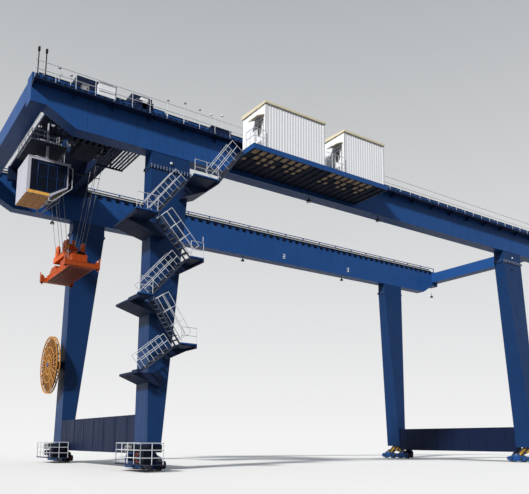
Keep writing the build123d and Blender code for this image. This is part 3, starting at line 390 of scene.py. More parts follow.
def make_looks(paints):
    """Fills looks with every finish on the crane, by name."""
    blue = tuple(paints.steel_blue)
    white = tuple(paints.house_white)
    orange = tuple(paints.spreader_orange)
    brown = tuple(paints.reel_brown)
    looks["blue"] = painted_steel(
        "steel_blue", blue, wear=0.35, streaks=0.32, seams=2.35, dirt=(0.008, 0.014, 0.035),
    )
    looks["plain_blue"] = painted_steel("plain_blue", blue, streaks=0.25)
    # A near-black blue: painted shade for the walkways, landings and trolley steel, seen from below in shadow
    looks["dark_blue"] = painted_steel(
        "dark_blue", (0.007, 0.016, 0.05), streaks=0.5, roughness=0.55, dirt=(0.006, 0.007, 0.01),
    )
    # The steel blue darkened to about half: a shaded copy, painted shade for the legs and other parts that
    # lie in shade
    looks["leg"] = painted_steel("shaded_leg_blue", shaded(blue, 0.48), streaks=0.3, dirt=(0.012, 0.013, 0.018))
    # A near-black navy, painted shade: the sills and many fittings that lie in shadow take it
    looks["navy"] = painted_steel(
        "navy_and_shade_blue", (0.004, 0.011, 0.042), wear=0.15, streaks=0.3, roughness=0.5,
        dirt=(0.006, 0.006, 0.009),
    )
    # A near-black blue: painted shade for sheets and parts in deep shadow, and for dark fittings
    looks["night"] = rubber_black("night_blue", (0.0025, 0.005, 0.013), 0.8)
    # A darker copy of the spreader orange: painted shade for the spreader's undersides and body, over real
    # dirt streaks
    looks["shaded_orange"] = painted_steel(
        "spreader_shaded_orange", (0.42, 0.072, 0.016), wear=0.15, streaks=0.5, dirt=(0.05, 0.02, 0.012),
    )
    looks["dark_brown"] = painted_steel(
        "reel_cable_brown", (0.11, 0.042, 0.016), wear=0.2, streaks=0.4, dirt=(0.03, 0.014, 0.008),
    )
    looks["gold"] = painted_steel("reel_gold", (0.4, 0.18, 0.035), wear=0.2, dirt=(0.1, 0.03, 0.01))
    looks["beige"] = painted_steel("weathered_beige", (0.75, 0.52, 0.3), wear=0.2, streaks=0.45)
    looks["white"] = painted_steel("house_white", white, wear=0.08, streaks=0.06, roughness=0.38)
    looks["cream"] = painted_steel("trim_cream", tuple(paints.trim_cream), wear=0.1, streaks=0.12)
    looks["rail"] = painted_steel(
        "rail_white", tuple(paints.rail_white), wear=0.1, streaks=0.2, roughness=0.4,
    )
    looks["orange"] = painted_steel(
        "spreader_orange", orange, wear=0.1, streaks=0.3, dirt=(0.1, 0.028, 0.012),
    )
    looks["reel"] = painted_steel("reel_brown", brown, wear=0.2, streaks=0.4, dirt=(0.08, 0.03, 0.01))
    looks["cab"] = painted_steel("cab_white", (0.55, 0.56, 0.66), wear=0.1, streaks=0.18, roughness=0.35)
    looks["brown_floor"] = painted_steel("cab_floor_brown", (0.95, 0.5, 0.12), wear=0.2)
    looks["hazard"] = striped_paint("hazard_stripes")
    looks["deck"] = chequer_plate("deck_plate", (0.035, 0.045, 0.075))
    looks["wheel"] = bare_metal("wheel_steel", (0.16, 0.155, 0.15), 0.38)
    looks["rope"] = bare_metal("rope_steel", (0.22, 0.22, 0.23), 0.42, 0.7)
    looks["zinc"] = bare_metal("zinc_grey", (0.42, 0.43, 0.44), 0.4, 0.6)
    looks["black"] = rubber_black("matt_black")
    looks["red"] = painted_steel("buffer_red", (0.13, 0.028, 0.022), wear=0.15)
    looks["yellow"] = painted_steel("safety_yellow", (0.68, 0.42, 0.03), wear=0.15, streaks=0.3)
    looks["pane"] = tinted_glass("cab_pane", (0.1, 0.15, 0.12))
    looks["dark_pane"] = tinted_glass("dark_pane", (0.012, 0.016, 0.022), 0.9)
    looks["green_pane"] = tinted_glass("green_pane", (0.45, 0.5, 0.12), 0.6)
    looks["lens"] = lamp_face("lamp_lens", (0.8, 0.82, 0.84))


def look_of_node(name):
    """The finish of a CAD node that stays in view."""
    if name.startswith("girder"):
        return "blue"
    # The sills get the near-black navy: painted shade on their shadowed faces
    if name.startswith("sill"):
        return "navy"
    # The legs take the darker copy of the steel blue: painted shade
    if name.startswith("leg"):
        return "leg"
    # Walkways, landings and the trolley's steel take the near-black blue: painted shade
    if name.startswith(("trolley_frame", "trolley_deck", "trolley_platforms", "stair_landings", "walkway")):
        return "dark_blue"
    if name.startswith(("wheels", "trolley_wheels")):
        return "wheel"
    # The spreader's frame and arms take the darker orange: painted shade
    if name.startswith(("spreader_frame", "spreader_arm")):
        return "shaded_orange"
    if name.startswith("rocker"):
        return "leg" if name.endswith("left") else "hazard"
    slot = [part["material_slot"] for part in frame["record"]["subparts"] if part["node"] == name][0]
    by_slot = {
        "blue_paint": "plain_blue", "white_panel": "white", "cream_trim": "cream", "rail_white": "rail",
        "deck_steel": "deck", "orange_paint": "orange", "reel_paint": "reel", "wheel_steel": "wheel",
        "rope_steel": "rope", "cab_paint": "cab", "cab_pane": "pane", "hazard_paint": "hazard",
    }
    return by_slot[slot]


def middle_of(low, high):
    """The middle of a box, seen from above."""
    return (low.x + high.x) / 2, (low.y + high.y) / 2


def full_turn(count):
    """Angles spread evenly round a full turn."""
    return [2 * math.pi * step / count for step in range(count)]


def ring_points(centre, side, other, radius, sides, stretch=1.0):
    """Points round a centre, in the plane of two square directions."""
    return [
        centre + (side * math.cos(turn) + other * math.sin(turn)) * radius * stretch
        for turn in full_turn(sides)
    ]


def upright_arc(x, y, z, wide, tall, turns):
    """Points at some angles of an upright ellipse that faces along X."""
    return [(x, y + wide * math.cos(turn), z + tall * math.sin(turn)) for turn in turns]


def band_faces(rings, sides, closed=False):
    """Faces that join each ring of points to the next."""
    faces = []
    for number in range(rings if closed else rings - 1):
        after = (number + 1) % rings
        for corner in range(sides):
            across = (corner + 1) % sides
            faces.append((
                number * sides + corner, number * sides + across,
                after * sides + across, after * sides + corner,
            ))
    return faces


class Piece:
    """The faces of one piece, gathered before it becomes an object."""

    def __init__(self):
        self.points = []
        self.faces = []
        self.face_looks = []
        self.names = []
        self.smooth = []

    def look(self, name):
        if name not in self.names:
            self.names.append(name)
        return self.names.index(name)

    def add(self, points, faces, look, smooth=False):
        first = len(self.points)
        number = self.look(look)
        self.points.extend(Vector(point) for point in points)
        for face in faces:
            self.faces.append([first + corner for corner in face])
            self.face_looks.append(number)
            self.smooth.append(smooth)

    def box(self, low, high, look):
        """A box between two corners."""
        (x0, y0, z0), (x1, y1, z1) = low, high
        x0, x1 = sorted((x0, x1))
        y0, y1 = sorted((y0, y1))
        z0, z1 = sorted((z0, z1))
        points = [(x, y, z) for z in (z0, z1) for x, y in ((x0, y0), (x1, y0), (x1, y1), (x0, y1))]
        faces = [(3, 2, 1, 0), (4, 5, 6, 7), (0, 1, 5, 4), (1, 2, 6, 5), (2, 3, 7, 6), (3, 0, 4, 7)]
        self.add(points, faces, look)

    def prism(self, outline, along, look, start=(0, 0, 0)):
        """An outline of points in space, made thick by a vector."""
        base = [Vector(point) + Vector(start) for point in outline]
        along = Vector(along)
        area = Vector((0, 0, 0))
        for number in range(1, len(base) - 1):
            area += (base[number] - base[0]).cross(base[number + 1] - base[0])
        if area.dot(along) > 0:
            base = base[::-1]
        count = len(base)
        points = base + [point + along for point in base]
        faces = [tuple(range(count)), tuple(range(2 * count - 1, count - 1, -1))]
        for number in range(count):
            after = (number + 1) % count
            faces.append((number, number + count, after + count, after))
        self.add(points, faces, look)

    def tube(self, path, radius, look, sides=8, closed=False):
        """A round tube along points."""
        path = [Vector(point) for point in path]
        count = len(path)
        rings = []
        side = None
        for number in range(count):
            if closed:
                before, after = path[number - 1], path[(number + 1) % count]
            else:
                before, after = path[max(number - 1, 0)], path[min(number + 1, count - 1)]
            run = (after - before).normalized()
            if side is None:
                side = run.orthogonal().normalized()
            side = (side - run * side.dot(run)).normalized()
            other = run.cross(side)
            stretch = 1.0
            if closed or 0 < number < count - 1:
                stretch = 1.0 / max(0.5, math.cos((path[number] - before).angle(after - path[number]) / 2))
            rings.append(ring_points(path[number], side, other, radius, sides, stretch))
        points = [point for ring in rings for point in ring]
        self.add(points, band_faces(count, sides, closed), look, smooth=True)
        if not closed:
            self.add(rings[0], [tuple(range(sides - 1, -1, -1))], look)
            self.add(rings[-1], [tuple(range(sides))], look)

    def turned(self, profile, centre, axis, look, sides=24):
        """A profile of (distance along the axis, radius) points turned about the axis."""
        run = Vector(axis).normalized()
        side = run.orthogonal().normalized()
        other = run.cross(side)
        centre = Vector(centre)
        points = []
        for along, radius in profile:
            points += ring_points(centre + run * along, side, other, max(radius, 1e-4), sides)
        self.add(points, band_faces(len(profile), sides), look)
        self.add(points[:sides], [tuple(range(sides - 1, -1, -1))], look)
        self.add(points[-sides:], [tuple(range(sides))], look)

    def rod(self, start, end, radius, look, sides=12):
        """A straight round rod."""
        run = Vector(end) - Vector(start)
        self.turned([(0, radius), (run.length, radius)], start, run, look, sides)

    def take(self, mesh, look):
        """Faces of a mesh that Geometry Nodes made."""
        self.add(
            [vertex.co.copy() for vertex in mesh.vertices],
            [tuple(polygon.vertices) for polygon in mesh.polygons], look,
        )
        bpy.data.meshes.remove(mesh)

    def finish(self, name, body, replaces=()):
        """The object, riding on its body, in place of the CAD nodes that it stands for."""
        mesh = bpy.data.meshes.new(name)
        mesh.from_pydata(self.points, [], self.faces)
        for look in self.names:
            mesh.materials.append(looks[look])
        mesh.polygons.foreach_set("material_index", self.face_looks)
        mesh.polygons.foreach_set("use_smooth", self.smooth)
        mesh.update()
        thing = bpy.data.objects.new(name, mesh)
        bpy.context.scene.collection.objects.link(thing)
        if body:
            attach(thing, body)
        if replaces:
            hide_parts(*replaces)
        return thing


def new_tree(name, inputs):
    """A Geometry Nodes tree with named inputs, its builder and what its input node gives."""
    tree = bpy.data.node_groups.new(name, "GeometryNodeTree")
    tree.interface.new_socket(name="Geometry", in_out="INPUT", socket_type="NodeSocketGeometry")
    for label, kind, default in inputs:
        tree.interface.new_socket(name=label, in_out="INPUT", socket_type=kind).default_value = default
    tree.interface.new_socket(name="Material", in_out="INPUT", socket_type="NodeSocketMaterial")
    tree.interface.new_socket(name="Geometry", in_out="OUTPUT", socket_type="NodeSocketGeometry")
    builder = NodeBuilder(tree)
    return tree, builder, builder.make("NodeGroupInput").outputs


def end_tree(builder, given, geometry):
    """Realizes the instances and gives them their material."""
    real = builder.wired("GeometryNodeRealizeInstances", {"Geometry": geometry})
    painted = {"Geometry": real.outputs[0], "Material": given["Material"]}
    builder.wired(
        "NodeGroupOutput", {"Geometry": builder.wired("GeometryNodeSetMaterial", painted).outputs[0]},
    )


def row_tree():
    """Repeats a piece along a straight row."""
    tree, builder, given = new_tree("Repeat in a row", [
        ("Count", "NodeSocketInt", 2), ("Step", "NodeSocketVector", (1.0, 0.0, 0.0)),
    ])
    line = builder.wired(
        "GeometryNodeMeshLine", {"Count": given["Count"], "Offset": given["Step"]}, mode="OFFSET",
    )
    copies = builder.wired(
        "GeometryNodeInstanceOnPoints", {"Points": line.outputs[0], "Instance": given["Geometry"]},
    )
    end_tree(builder, given, copies.outputs[0])
    return tree


def swept(builder, curve, sides, radius):
    """A round tube with closed ends along a curve."""
    ring = builder.wired(
        "GeometryNodeCurvePrimitiveCircle", {"Resolution": sides, "Radius": radius}, mode="RADIUS",
    )
    inputs = {"Curve": curve, "Profile Curve": ring.outputs[0], "Fill Caps": True}
    return builder.wired("GeometryNodeCurveToMesh", inputs).outputs[0]


def tube_tree():
    """Turns lines into round tubes."""
    tree, builder, given = new_tree("Tubes on lines", [
        ("Radius", "NodeSocketFloat", 0.01), ("Sides", "NodeSocketInt", 8),
    ])
    curve = builder.wired("GeometryNodeMeshToCurve", {"Mesh": given["Geometry"]})
    end_tree(builder, given, swept(builder, curve.outputs[0], given["Sides"], given["Radius"]))
    return tree


def winding_tree():
    """A rope wound as a helix, or as a flat spiral when its height is nothing."""
    tree, builder, given = new_tree("Wound rope", [
        ("Turns", "NodeSocketFloat", 4.0), ("First radius", "NodeSocketFloat", 0.3),
        ("Last radius", "NodeSocketFloat", 0.3), ("Height", "NodeSocketFloat", 1.0),
        ("Rope radius", "NodeSocketFloat", 0.01), ("Steps", "NodeSocketInt", 24),
        ("Sides", "NodeSocketInt", 6),
    ])
    spiral = builder.wired("GeometryNodeCurveSpiral", {
        "Resolution": given["Steps"], "Rotations": given["Turns"], "Start Radius": given["First radius"],
        "End Radius": given["Last radius"], "Height": given["Height"],
    })
    end_tree(builder, given, swept(builder, spiral.outputs[0], given["Sides"], given["Rope radius"]))
    return tree


# The Geometry Nodes trees, by name
trees = {}


def run_tree(name, points, edges, faces, look, values):
    """The plain mesh that a tree makes from points, with its inputs set by name."""
    mesh = bpy.data.meshes.new("before")
    mesh.from_pydata(points, edges, faces)
    thing = bpy.data.objects.new("before", mesh)
    bpy.context.scene.collection.objects.link(thing)
    modifier = thing.modifiers.new("made", "NODES")
    modifier.node_group = trees[name]
    found = {
        socket.name: socket.identifier
        for socket in trees[name].interface.items_tree if socket.in_out == "INPUT"
    }
    for label, value in values.items():
        modifier[found[label]] = value
    modifier[found["Material"]] = looks[look]
    bpy.context.view_layer.update()
    seen = thing.evaluated_get(bpy.context.evaluated_depsgraph_get())
    made = bpy.data.meshes.new_from_object(seen)
    thing.modifiers.remove(modifier)
    bpy.data.objects.remove(thing)
    bpy.data.meshes.remove(mesh)
    return made


def repeat(piece, item, count, step, look):
    """Adds an item to a piece, count times, a step apart."""
    values = {"Count": int(count), "Step": [float(part) for part in step]}
    piece.take(run_tree("row", item.points, [], item.faces, look, values), look)


def tubes(piece, lines, radius, look, sides=8):
    """Adds round tubes along lines of points to a piece."""
    points = []
    edges = []
    for line in lines:
        for number, point in enumerate(line):
            points.append(tuple(point))
            if number:
                edges.append((len(points) - 2, len(points) - 1))
    piece.take(run_tree("tube", points, edges, [], look, {"Radius": radius, "Sides": sides}), look)


def winding(piece, centre, axis, look, **values):
    """Adds wound rope about an axis to a piece."""
    mesh = run_tree("winding", [(0, 0, 0)], [], [], look, values)
    turn = Vector((0, 0, 1)).rotation_difference(Vector(axis)).to_matrix().to_4x4()
    mesh.transform(Matrix.Translation(Vector(centre)) @ turn)
    piece.take(mesh, look)


def item_box(low, high):
    """A box to repeat."""
    item = Piece()
    item.box(low, high, "blue")
    return item


def item_rod(start, end, radius, sides=8):
    """A rod to repeat."""
    item = Piece()
    item.rod(start, end, radius, "blue", sides)
    return item


def even(first, last, step):
    """How many places lie from first to last about a step apart, and the true step."""
    count = max(1, round(abs(last - first) / step))
    return count + 1, (last - first) / count


def row(piece, item, first, last, pitch, look, axis=0):
    """Repeats an item from first to last along X, or along Y if axis is 1, about a pitch apart."""
    count, step = even(first, last, pitch)
    repeat(piece, item, count, (0, step, 0) if axis else (step, 0, 0), look)


def railing(piece, start, end, height, spacing, radius=0.011, upright=True, look="rail"):
    """Tube posts with a top rail and a middle rail from start to end, square to the run if not upright."""
    start = Vector(start)
    end = Vector(end)
    count, step = even(0, (end - start).length, spacing)
    way = (end - start).normalized()
    lift = Vector((0, 0, 1))
    if not upright:
        lift = (lift - way * lift.dot(way)).normalized()
    lift = lift * height
    lines = [(start + lift * level, end + lift * level) for level in (1.0, 0.52)]
    tubes(piece, lines, radius, look)
    repeat(piece, item_rod(start, start + lift, radius * 0.9), count, way * step, look)


class CRANE_OT_stage(bpy.types.Operator):
    """Makes the floor, background, lamps and camera"""

    bl_idname = "crane.stage"
    bl_label = "Stage"

    def execute(self, context):
        make_floor(context.scene.crane_stage)
        make_sky(context.scene.crane_stage)
        make_lamps(context.scene.crane_stage)
        make_camera()
        context.scene.view_settings.view_transform = "Standard"
        return {"FINISHED"}


def pale_rays(builder):
    """One for camera, glossy and transmission rays."""
    rays = builder.make("ShaderNodeLightPath")
    seen = builder.math("MAXIMUM", rays.outputs["Is Camera Ray"], rays.outputs["Is Glossy Ray"])
    return builder.math("MAXIMUM", seen, rays.outputs["Is Transmission Ray"])


def make_floor(sizes):
    """A plain pale floor that keeps the crane's shadow."""
    half = sizes.floor_half
    mesh = bpy.data.meshes.new("floor")
    mesh.from_pydata(
        [(-half, -half, 0), (half, -half, 0), (half, half, 0), (-half, half, 0)], [], [(0, 1, 2, 3)],
    )
    floor = bpy.data.objects.new("floor", mesh)
    bpy.context.scene.collection.objects.link(floor)
    material, builder, shader, place = new_surface("floor_pale")
    speck = builder.noise(place, 0.4, 3.0)
    pale = builder.mixed(speck, (0.85, 0.85, 0.855, 1), (0.88, 0.88, 0.885, 1))
    builder.feed(shader, "Base Color", builder.mixed(pale_rays(builder), (0.07, 0.07, 0.075, 1), pale))
    builder.feed(shader, "Roughness", builder.ramped(speck, 0, 1, 0.8, 0.9))
    mesh.materials.append(material)


def make_sky(sizes):
    """A background that pales towards the floor, and sky light from above."""
    world = bpy.data.worlds.new("sky")
    bpy.context.scene.world = world
    world.use_nodes = True
    builder = NodeBuilder(world.node_tree)
    background = world.node_tree.nodes["Background"]
    upward = builder.split(builder.make("ShaderNodeTexCoord").outputs["Generated"])[2]
    height = builder.ramped(upward, 0.0, 0.62)
    seen = builder.mixed(height, opaque(sizes.background_low), opaque(sizes.background_top))
    lit = builder.mixed(builder.ramped(upward, -0.1, 0.7), (0.3, 0.31, 0.33, 1), (0.85, 0.93, 1.0, 1))
    pale = pale_rays(builder)
    builder.feed(background, "Color", builder.mixed(pale, lit, seen))
    builder.feed(background, "Strength", builder.ramped(pale, 0, 1, sizes.sky_strength, 1.0))


def make_lamps(sizes):
    """The sun from the crane's left, a little to the front."""
    towards_sun = Vector((-0.74, -0.4, 0.56))
    sun = bpy.data.lights.new("sun", "SUN")
    sun.energy = sizes.sun_strength
    sun.angle = math.radians(6)
    sun.color = (1.0, 0.97, 0.92)
    lamp = bpy.data.objects.new("sun", sun)
    lamp.rotation_euler = towards_sun.to_track_quat("Z", "Y").to_euler()
    bpy.context.scene.collection.objects.link(lamp)


def make_camera():
    """The camera at the photograph's place."""
    x, y, z = -17.3475, -21.88, 0.825
    yaw, pitch, roll = (math.radians(angle) for angle in (34.29, 9.24, 0.42))
    ahead = Vector((math.sin(yaw) * math.cos(pitch), math.cos(yaw) * math.cos(pitch), math.sin(pitch)))
    level = Vector((math.cos(yaw), -math.sin(yaw), 0))
    above = level.cross(ahead)
    right = level * math.cos(roll) + above * math.sin(roll)
    up = above * math.cos(roll) - level * math.sin(roll)
    data = bpy.data.cameras.new("camera")
    data.lens = 42.96
    data.sensor_width = 36
    data.shift_y = 0.176
    data.clip_end = 3000
    camera = bpy.data.objects.new("camera", data)
    camera.matrix_world = Matrix((
        (right.x, up.x, -ahead.x, x), (right.y, up.y, -ahead.y, y), (right.z, up.z, -ahead.z, z),
        (0, 0, 0, 1),
    ))
    bpy.context.scene.collection.objects.link(camera)
    bpy.context.scene.camera = camera


class CRANE_OT_paint(bpy.types.Operator):
    """Makes the finishes and paints every CAD piece"""

    bl_idname = "crane.paint"
    bl_label = "Paint"

    def execute(self, context):
        make_looks(context.scene.crane_paints)
        trees["row"] = row_tree()
        trees["tube"] = tube_tree()
        trees["winding"] = winding_tree()
        for name, node in frame["nodes"].items():
            node.data.materials.clear()
            node.data.materials.append(looks[look_of_node(name)])
        return {"FINISHED"}


class CRANE_OT_walkways(bpy.types.Operator):
    """Makes the girder walkways' round handrails and slotted kick plates"""

    bl_idname = "crane.walkways"
    bl_label = "Walkways"

    def execute(self, context):
        for side in ("near", "far"):
            make_walkway_rails(side, context.scene.crane_rails)
        return {"FINISHED"}


def make_walkway_rails(side, sizes):
    """Round handrails on one walkway, with a slotted kick plate at their feet."""
    low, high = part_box(f"handrail_{side}")
    y = (low.y + high.y) / 2
    inset, plate_half, slot_margin, slot_pitch = 0.01, 0.004, 0.015, 0.2
    piece = Piece()
    railing(
        piece, (low.x + inset, y, low.z), (high.x - inset, y, low.z), high.z - low.z - sizes.tube_radius,
        sizes.post_spacing, sizes.tube_radius,
    )
    kick_top = low.z + sizes.kick_height
    # The kick plate takes the legs' darker blue: painted shade
    piece.box((low.x, y - plate_half, low.z + plate_half), (high.x, y + plate_half, kick_top), "leg")
    # The slots are thin near-black boxes on the plate's face: painted shade in place of openings
    slot_start, slot_end = low.x + 0.05, low.x + 0.15
    face = y - 0.006 if side == "near" else y + 0.006
    slot = item_box(
        (slot_start, face - 0.003, low.z + slot_margin), (slot_end, face + 0.003, kick_top - slot_margin),
    )
    row(piece, slot, slot_start, high.x - 0.15, slot_pitch, "night")
    piece.finish(f"walkway_rails_{side}", "gantry", [f"handrail_{side}"])


def stair_parts():
    """The stair flights' boxes, from the lowest up, and which way each rises along X."""
    boxes = [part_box(f"stair_flight_{number}") for number in range(1, 7)]
    return [
        (low, high, 1 if number % 2 == 0 or number == 5 else -1) for number, (low, high) in enumerate(boxes)
    ]


class CRANE_OT_stair(bpy.types.Operator):
    """Makes the stair's round handrails, grating treads and landing gratings"""

    bl_idname = "crane.stair"
    bl_label = "Stair"

    def execute(self, context):
        make_stair_rails(context.scene.crane_rails)
        make_treads(context.scene.crane_stair)
        return {"FINISHED"}


def flight_line(low, high, way):
    """The foot and head of a flight's walking line, from its box."""
    drop = 0.055
    run = high.x - low.x
    rise = high.z - low.z
    # The stringer hangs below the line by more on a steeper flight, so a few rounds find the rise
    for _ in range(6):
        rise = high.z - low.z - drop * math.hypot(1, rise / run)
    foot_z = high.z - rise
    if way > 0:
        return (low.x, foot_z), (high.x, high.z)
    return (high.x, foot_z), (low.x, high.z)


def make_stair_rails(sizes):
    """Round rails square to each flight on both sides, and upright ones along the landings."""
    piece = Piece()
    height, landing_height, spacing, end_gap, side_gap = 0.48, 0.52, 0.42, 0.075, 0.01
    for low, high, way in stair_parts():
        (x0, z0), (x1, z1) = flight_line(low, high, way)
        share = end_gap / abs(x1 - x0)
        ax, az = x0 + (x1 - x0) * share, z0 + (z1 - z0) * share
        bx, bz = x1 - (x1 - x0) * share, z1 - (z1 - z0) * share
        for y in (low.y - side_gap, high.y + side_gap):
            railing(piece, (ax, y, az), (bx, y, bz), height, spacing, sizes.tube_radius, False)
    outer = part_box("stair_handrails")[0].y + 0.03
    for x0, x1, z in landing_tops():
        railing(
            piece, (x0 + 0.02, outer, z), (x1 - 0.02, outer, z), landing_height, spacing, sizes.tube_radius,
        )
    piece.finish("stair_rails", "gantry", ["stair_handrails"])


def landing_tops():
    """Each wide landing's left end, right end and height, where the flights meet."""
    flights = [flight_line(*part) for part in stair_parts()]
    tops = []
    # How far each landing reaches along X from the head of its flight
    for number, reach in enumerate((0.55, -0.46, 0.47, -0.71, 0.89)):
        x, z = flights[number][1]
        tops.append((min(x, x + reach), max(x, x + reach), z))
    return tops


def make_treads(sizes):
    """Grating bars on every tread and landing."""
    piece = Piece()
    tread_rise, tread_depth, half_bar, bar_height, side_gap = 0.125, 0.095, 0.005, 0.006, 0.016
    for low, high, way in stair_parts():
        (x0, z0), (x1, z1) = flight_line(low, high, way)
        count = max(1, round((z1 - z0) / tread_rise))
        step = ((x1 - x0) / count, 0, (z1 - z0) / count)
        top = z0 + step[2]
        item = Piece()
        for bar in range(sizes.tread_bars):
            x = x0 + step[0] - tread_depth / 2 + tread_depth * bar / (sizes.tread_bars - 1)
            item.box(
                (x - half_bar, low.y + side_gap, top), (x + half_bar, high.y - side_gap, top + bar_height),
                "blue",
            )
        repeat(piece, item, count - 1, step, "zinc")
    low_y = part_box("stair_landings")[0].y
    high_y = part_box("stair_flight_1")[1].y
    for x0, x1, z in landing_tops():
        item = item_box((x0 + 0.006, low_y + 0.035, z), (x0 + 0.014, high_y, z + bar_height))
        row(piece, item, x0 + 0.01, x1 - 0.01, sizes.grating_pitch, "zinc")
    piece.finish("stair_gratings", "gantry")


class CRANE_OT_houses(bpy.types.Operator):
    """Makes the electric houses' corrugated cladding, corner trims, door leaves and roofs"""

    bl_idname = "crane.houses"
    bl_label = "Electric houses"

    def execute(self, context):
        sizes = context.scene.crane_houses
        for number in (1, 2):
            make_cladding(number, sizes)
            make_door_detail(number)
        make_roof_detail()
        return {"FINISHED"}


def ribbed_sheet(piece, start, end, low, high, out, pitch, depth, look):
    """A trapezoidal sheet from start to end along the floor, standing out along a direction."""
    start = Vector(start)
    end = Vector(end)
    out = Vector(out)
    count = max(1, round((end - start).length / pitch))
    way = (end - start) / count
    line = []
    # One rib: how far along its pitch each corner lies, and how far out
    rib = ((0.0, 0.0), (0.3, 0.0), (0.42, 1.0), (0.8, 1.0), (0.92, 0.0))
    for number in range(count):
        for share, lift in rib:
            line.append(start + way * number + way * share + out * depth * lift)
    line.append(end)
    points = [Vector((p.x, p.y, z)) for z in (low, high) for p in line]
    total = len(line)
    faces = [(number, number + 1, number + 1 + total, number + total) for number in range(total - 1)]
    if (end - start).cross(Vector((0, 0, 1))).dot(out) < 0:
        faces = [face[::-1] for face in faces]
    piece.add(points, faces, look)


def make_cladding(number, sizes):
    """Corrugated sheets on one house's walls, round its doorway, with corner trims and a door frame."""
    low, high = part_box(f"house_{number}_walls")
    door_low, door_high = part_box(f"house_{number}_door")
    piece = Piece()
    skin, jamb, corner, frame_out, frame_in = 0.004, 0.03, 0.05, 0.035, 0.005
    x0, x1, y0, y1 = low.x - skin, high.x + skin, low.y - skin, high.y + skin
    z0, z1 = low.z, high.z
    door_back, door_front = door_high.y + jamb, door_low.y - jamb
    for start, end, foot, out in (
        ((x0, y0, 0), (x1, y0, 0), z0, (0, -1, 0)), ((x1, y0, 0), (x1, y1, 0), z0, (1, 0, 0)),
        ((x1, y1, 0), (x0, y1, 0), z0, (0, 1, 0)), ((x0, y1, 0), (x0, door_back, 0), z0, (-1, 0, 0)),
        ((x0, door_front, 0), (x0, y0, 0), z0, (-1, 0, 0)),
        ((x0, door_back, 0), (x0, door_front, 0), door_high.z + jamb, (-1, 0, 0)),
    ):
        ribbed_sheet(piece, start, end, foot, z1, out, sizes.rib_pitch, sizes.rib_depth, "white")
    trim = sizes.rib_depth + skin + 0.004
    for x, y in ((low.x, low.y), (high.x, low.y), (high.x, high.y), (low.x, high.y)):
        side_x = 1 if x == high.x else -1
        side_y = 1 if y == high.y else -1
        tip = (x + side_x * trim, y + side_y * trim, z0)
        piece.box(tip, (x - side_x * corner, y + side_y * skin, z1), "white")
        piece.box(tip, (x + side_x * skin, y - side_y * corner, z1), "white")
    frame_x = low.x - trim
    frame_top = door_high.z + frame_out
    for y in (door_low.y - frame_out, door_high.y + frame_in):
        piece.box((frame_x, y, z0 + 0.03), (low.x - skin, y + 0.03, frame_top), "zinc")
    piece.box(
        (frame_x, door_low.y - frame_out, door_high.z + frame_in),
        (low.x - skin, door_high.y + frame_out, frame_top), "zinc",
    )
    piece.finish(f"house_{number}_cladding", "gantry")


def make_door_detail(number):
    """A door leaf with its hinge tube, an oval window in a rim, a louvre and a handle."""
    low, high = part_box(f"house_{number}_door")
    piece = Piece()
    hinge, louvre_gap, slats, slat_pitch = 0.012, 0.07, 7, 0.034
    face = low.x + hinge
    y0, y1 = low.y + hinge, high.y
    z0, z1 = low.z, high.z
    piece.box((face, y0, z0), (high.x, y1, z1), "white")
    piece.turned(
        [(0, hinge), (z1 - z0 - 0.02, hinge)], (face, low.y + hinge, z0 + 0.01), (0, 0, 1), "zinc", 12,
    )
    window_z = z0 + (z1 - z0) * 0.72
    rim = upright_arc(face - 0.003, (y0 + y1) / 2, window_z, 0.125, 0.2, full_turn(24))
    piece.tube(rim, 0.009, "zinc", 6, closed=True)
    piece.add(rim, [tuple(range(23, -1, -1))], "dark_pane")
    for slat in range(slats):
        z = z0 + 0.09 + slat * slat_pitch
        y = y0 + louvre_gap
        piece.prism(
            [(face, y, z), (face - 0.009, y, z), (face, y, z + 0.022)], (0, y1 - y0 - louvre_gap * 2, 0),
            "zinc",
        )
    y, z = y1 - 0.045, z0 + (z1 - z0) * 0.47
    grip = face - 0.011
    path = [(face, y, z - 0.05), (grip, y, z - 0.045), (grip, y, z + 0.045), (face, y, z + 0.05)]
    piece.tube(path, 0.004, "zinc", 6)
    piece.finish(f"house_{number}_door_leaf", f"door_{number}", [f"house_{number}_door"])


def make_roof_detail():
    """Seamed roof sheets with cream flashings and soffits."""
    piece = Piece()
    whole_low, whole_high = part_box("house_roofs")
    seam_pitch, seam_width, seam_height, proud, skirt, soffit = 0.32, 0.015, 0.02, 0.008, 0.02, 0.006
    y0, y1 = whole_low.y, whole_high.y
    z0, back = whole_low.z, whole_high.z
    front = z0 + 0.045
    for number in (1, 2):
        low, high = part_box(f"house_{number}_walls")
        eave = low.y - whole_low.y
        x0, x1 = low.x - eave, high.x + eave
        sheet_back = back - seam_height
        piece.prism(
            [(x0, y0, z0), (x0, y1, z0), (x0, y1, sheet_back), (x0, y0, front)], (x1 - x0, 0, 0), "white",
        )
        x = x0 + 0.02
        seam = Piece()
        seam.prism(
            [(x, y0, front), (x, y1, sheet_back), (x, y1, back), (x, y0, front + seam_height)],
            (seam_width, 0, 0), "white",
        )
        row(piece, seam, x0 + 0.02, x1 - 0.035, seam_pitch, "white")
        piece.prism([
            (x0, y0 - proud, z0 - skirt), (x0, y0 + soffit, z0 - skirt),
            (x0, y0 + soffit, front + 0.012), (x0, y0 - proud, front + 0.012),
        ], (x1 - x0, 0, 0), "cream")
        corner = (x0 + soffit, y0 + soffit, z0 - soffit * 2)
        piece.box(corner, (x1 - soffit, low.y - 0.003, z0 - soffit), "cream")
        piece.box(corner, (low.x - 0.003, y1 - soffit, z0 - soffit), "cream")
        for x in (x0 - proud, x1 - 0.004):
            piece.prism(
                [(x, y0, z0 - skirt), (x, y1, z0 - skirt), (x, y1, back), (x, y0, front + 0.005)],
                (0.012, 0, 0), "cream",
            )
    piece.finish("roof_sheets", "gantry", ["house_roofs"])


class CRANE_OT_ropes(bpy.types.Operator):
    """Makes the hoist ropes that fan out from the headblock to the trolley"""

    bl_idname = "crane.ropes"
    bl_label = "Hoist ropes"

    def execute(self, context):
        make_hoist_ropes()
        return {"FINISHED"}


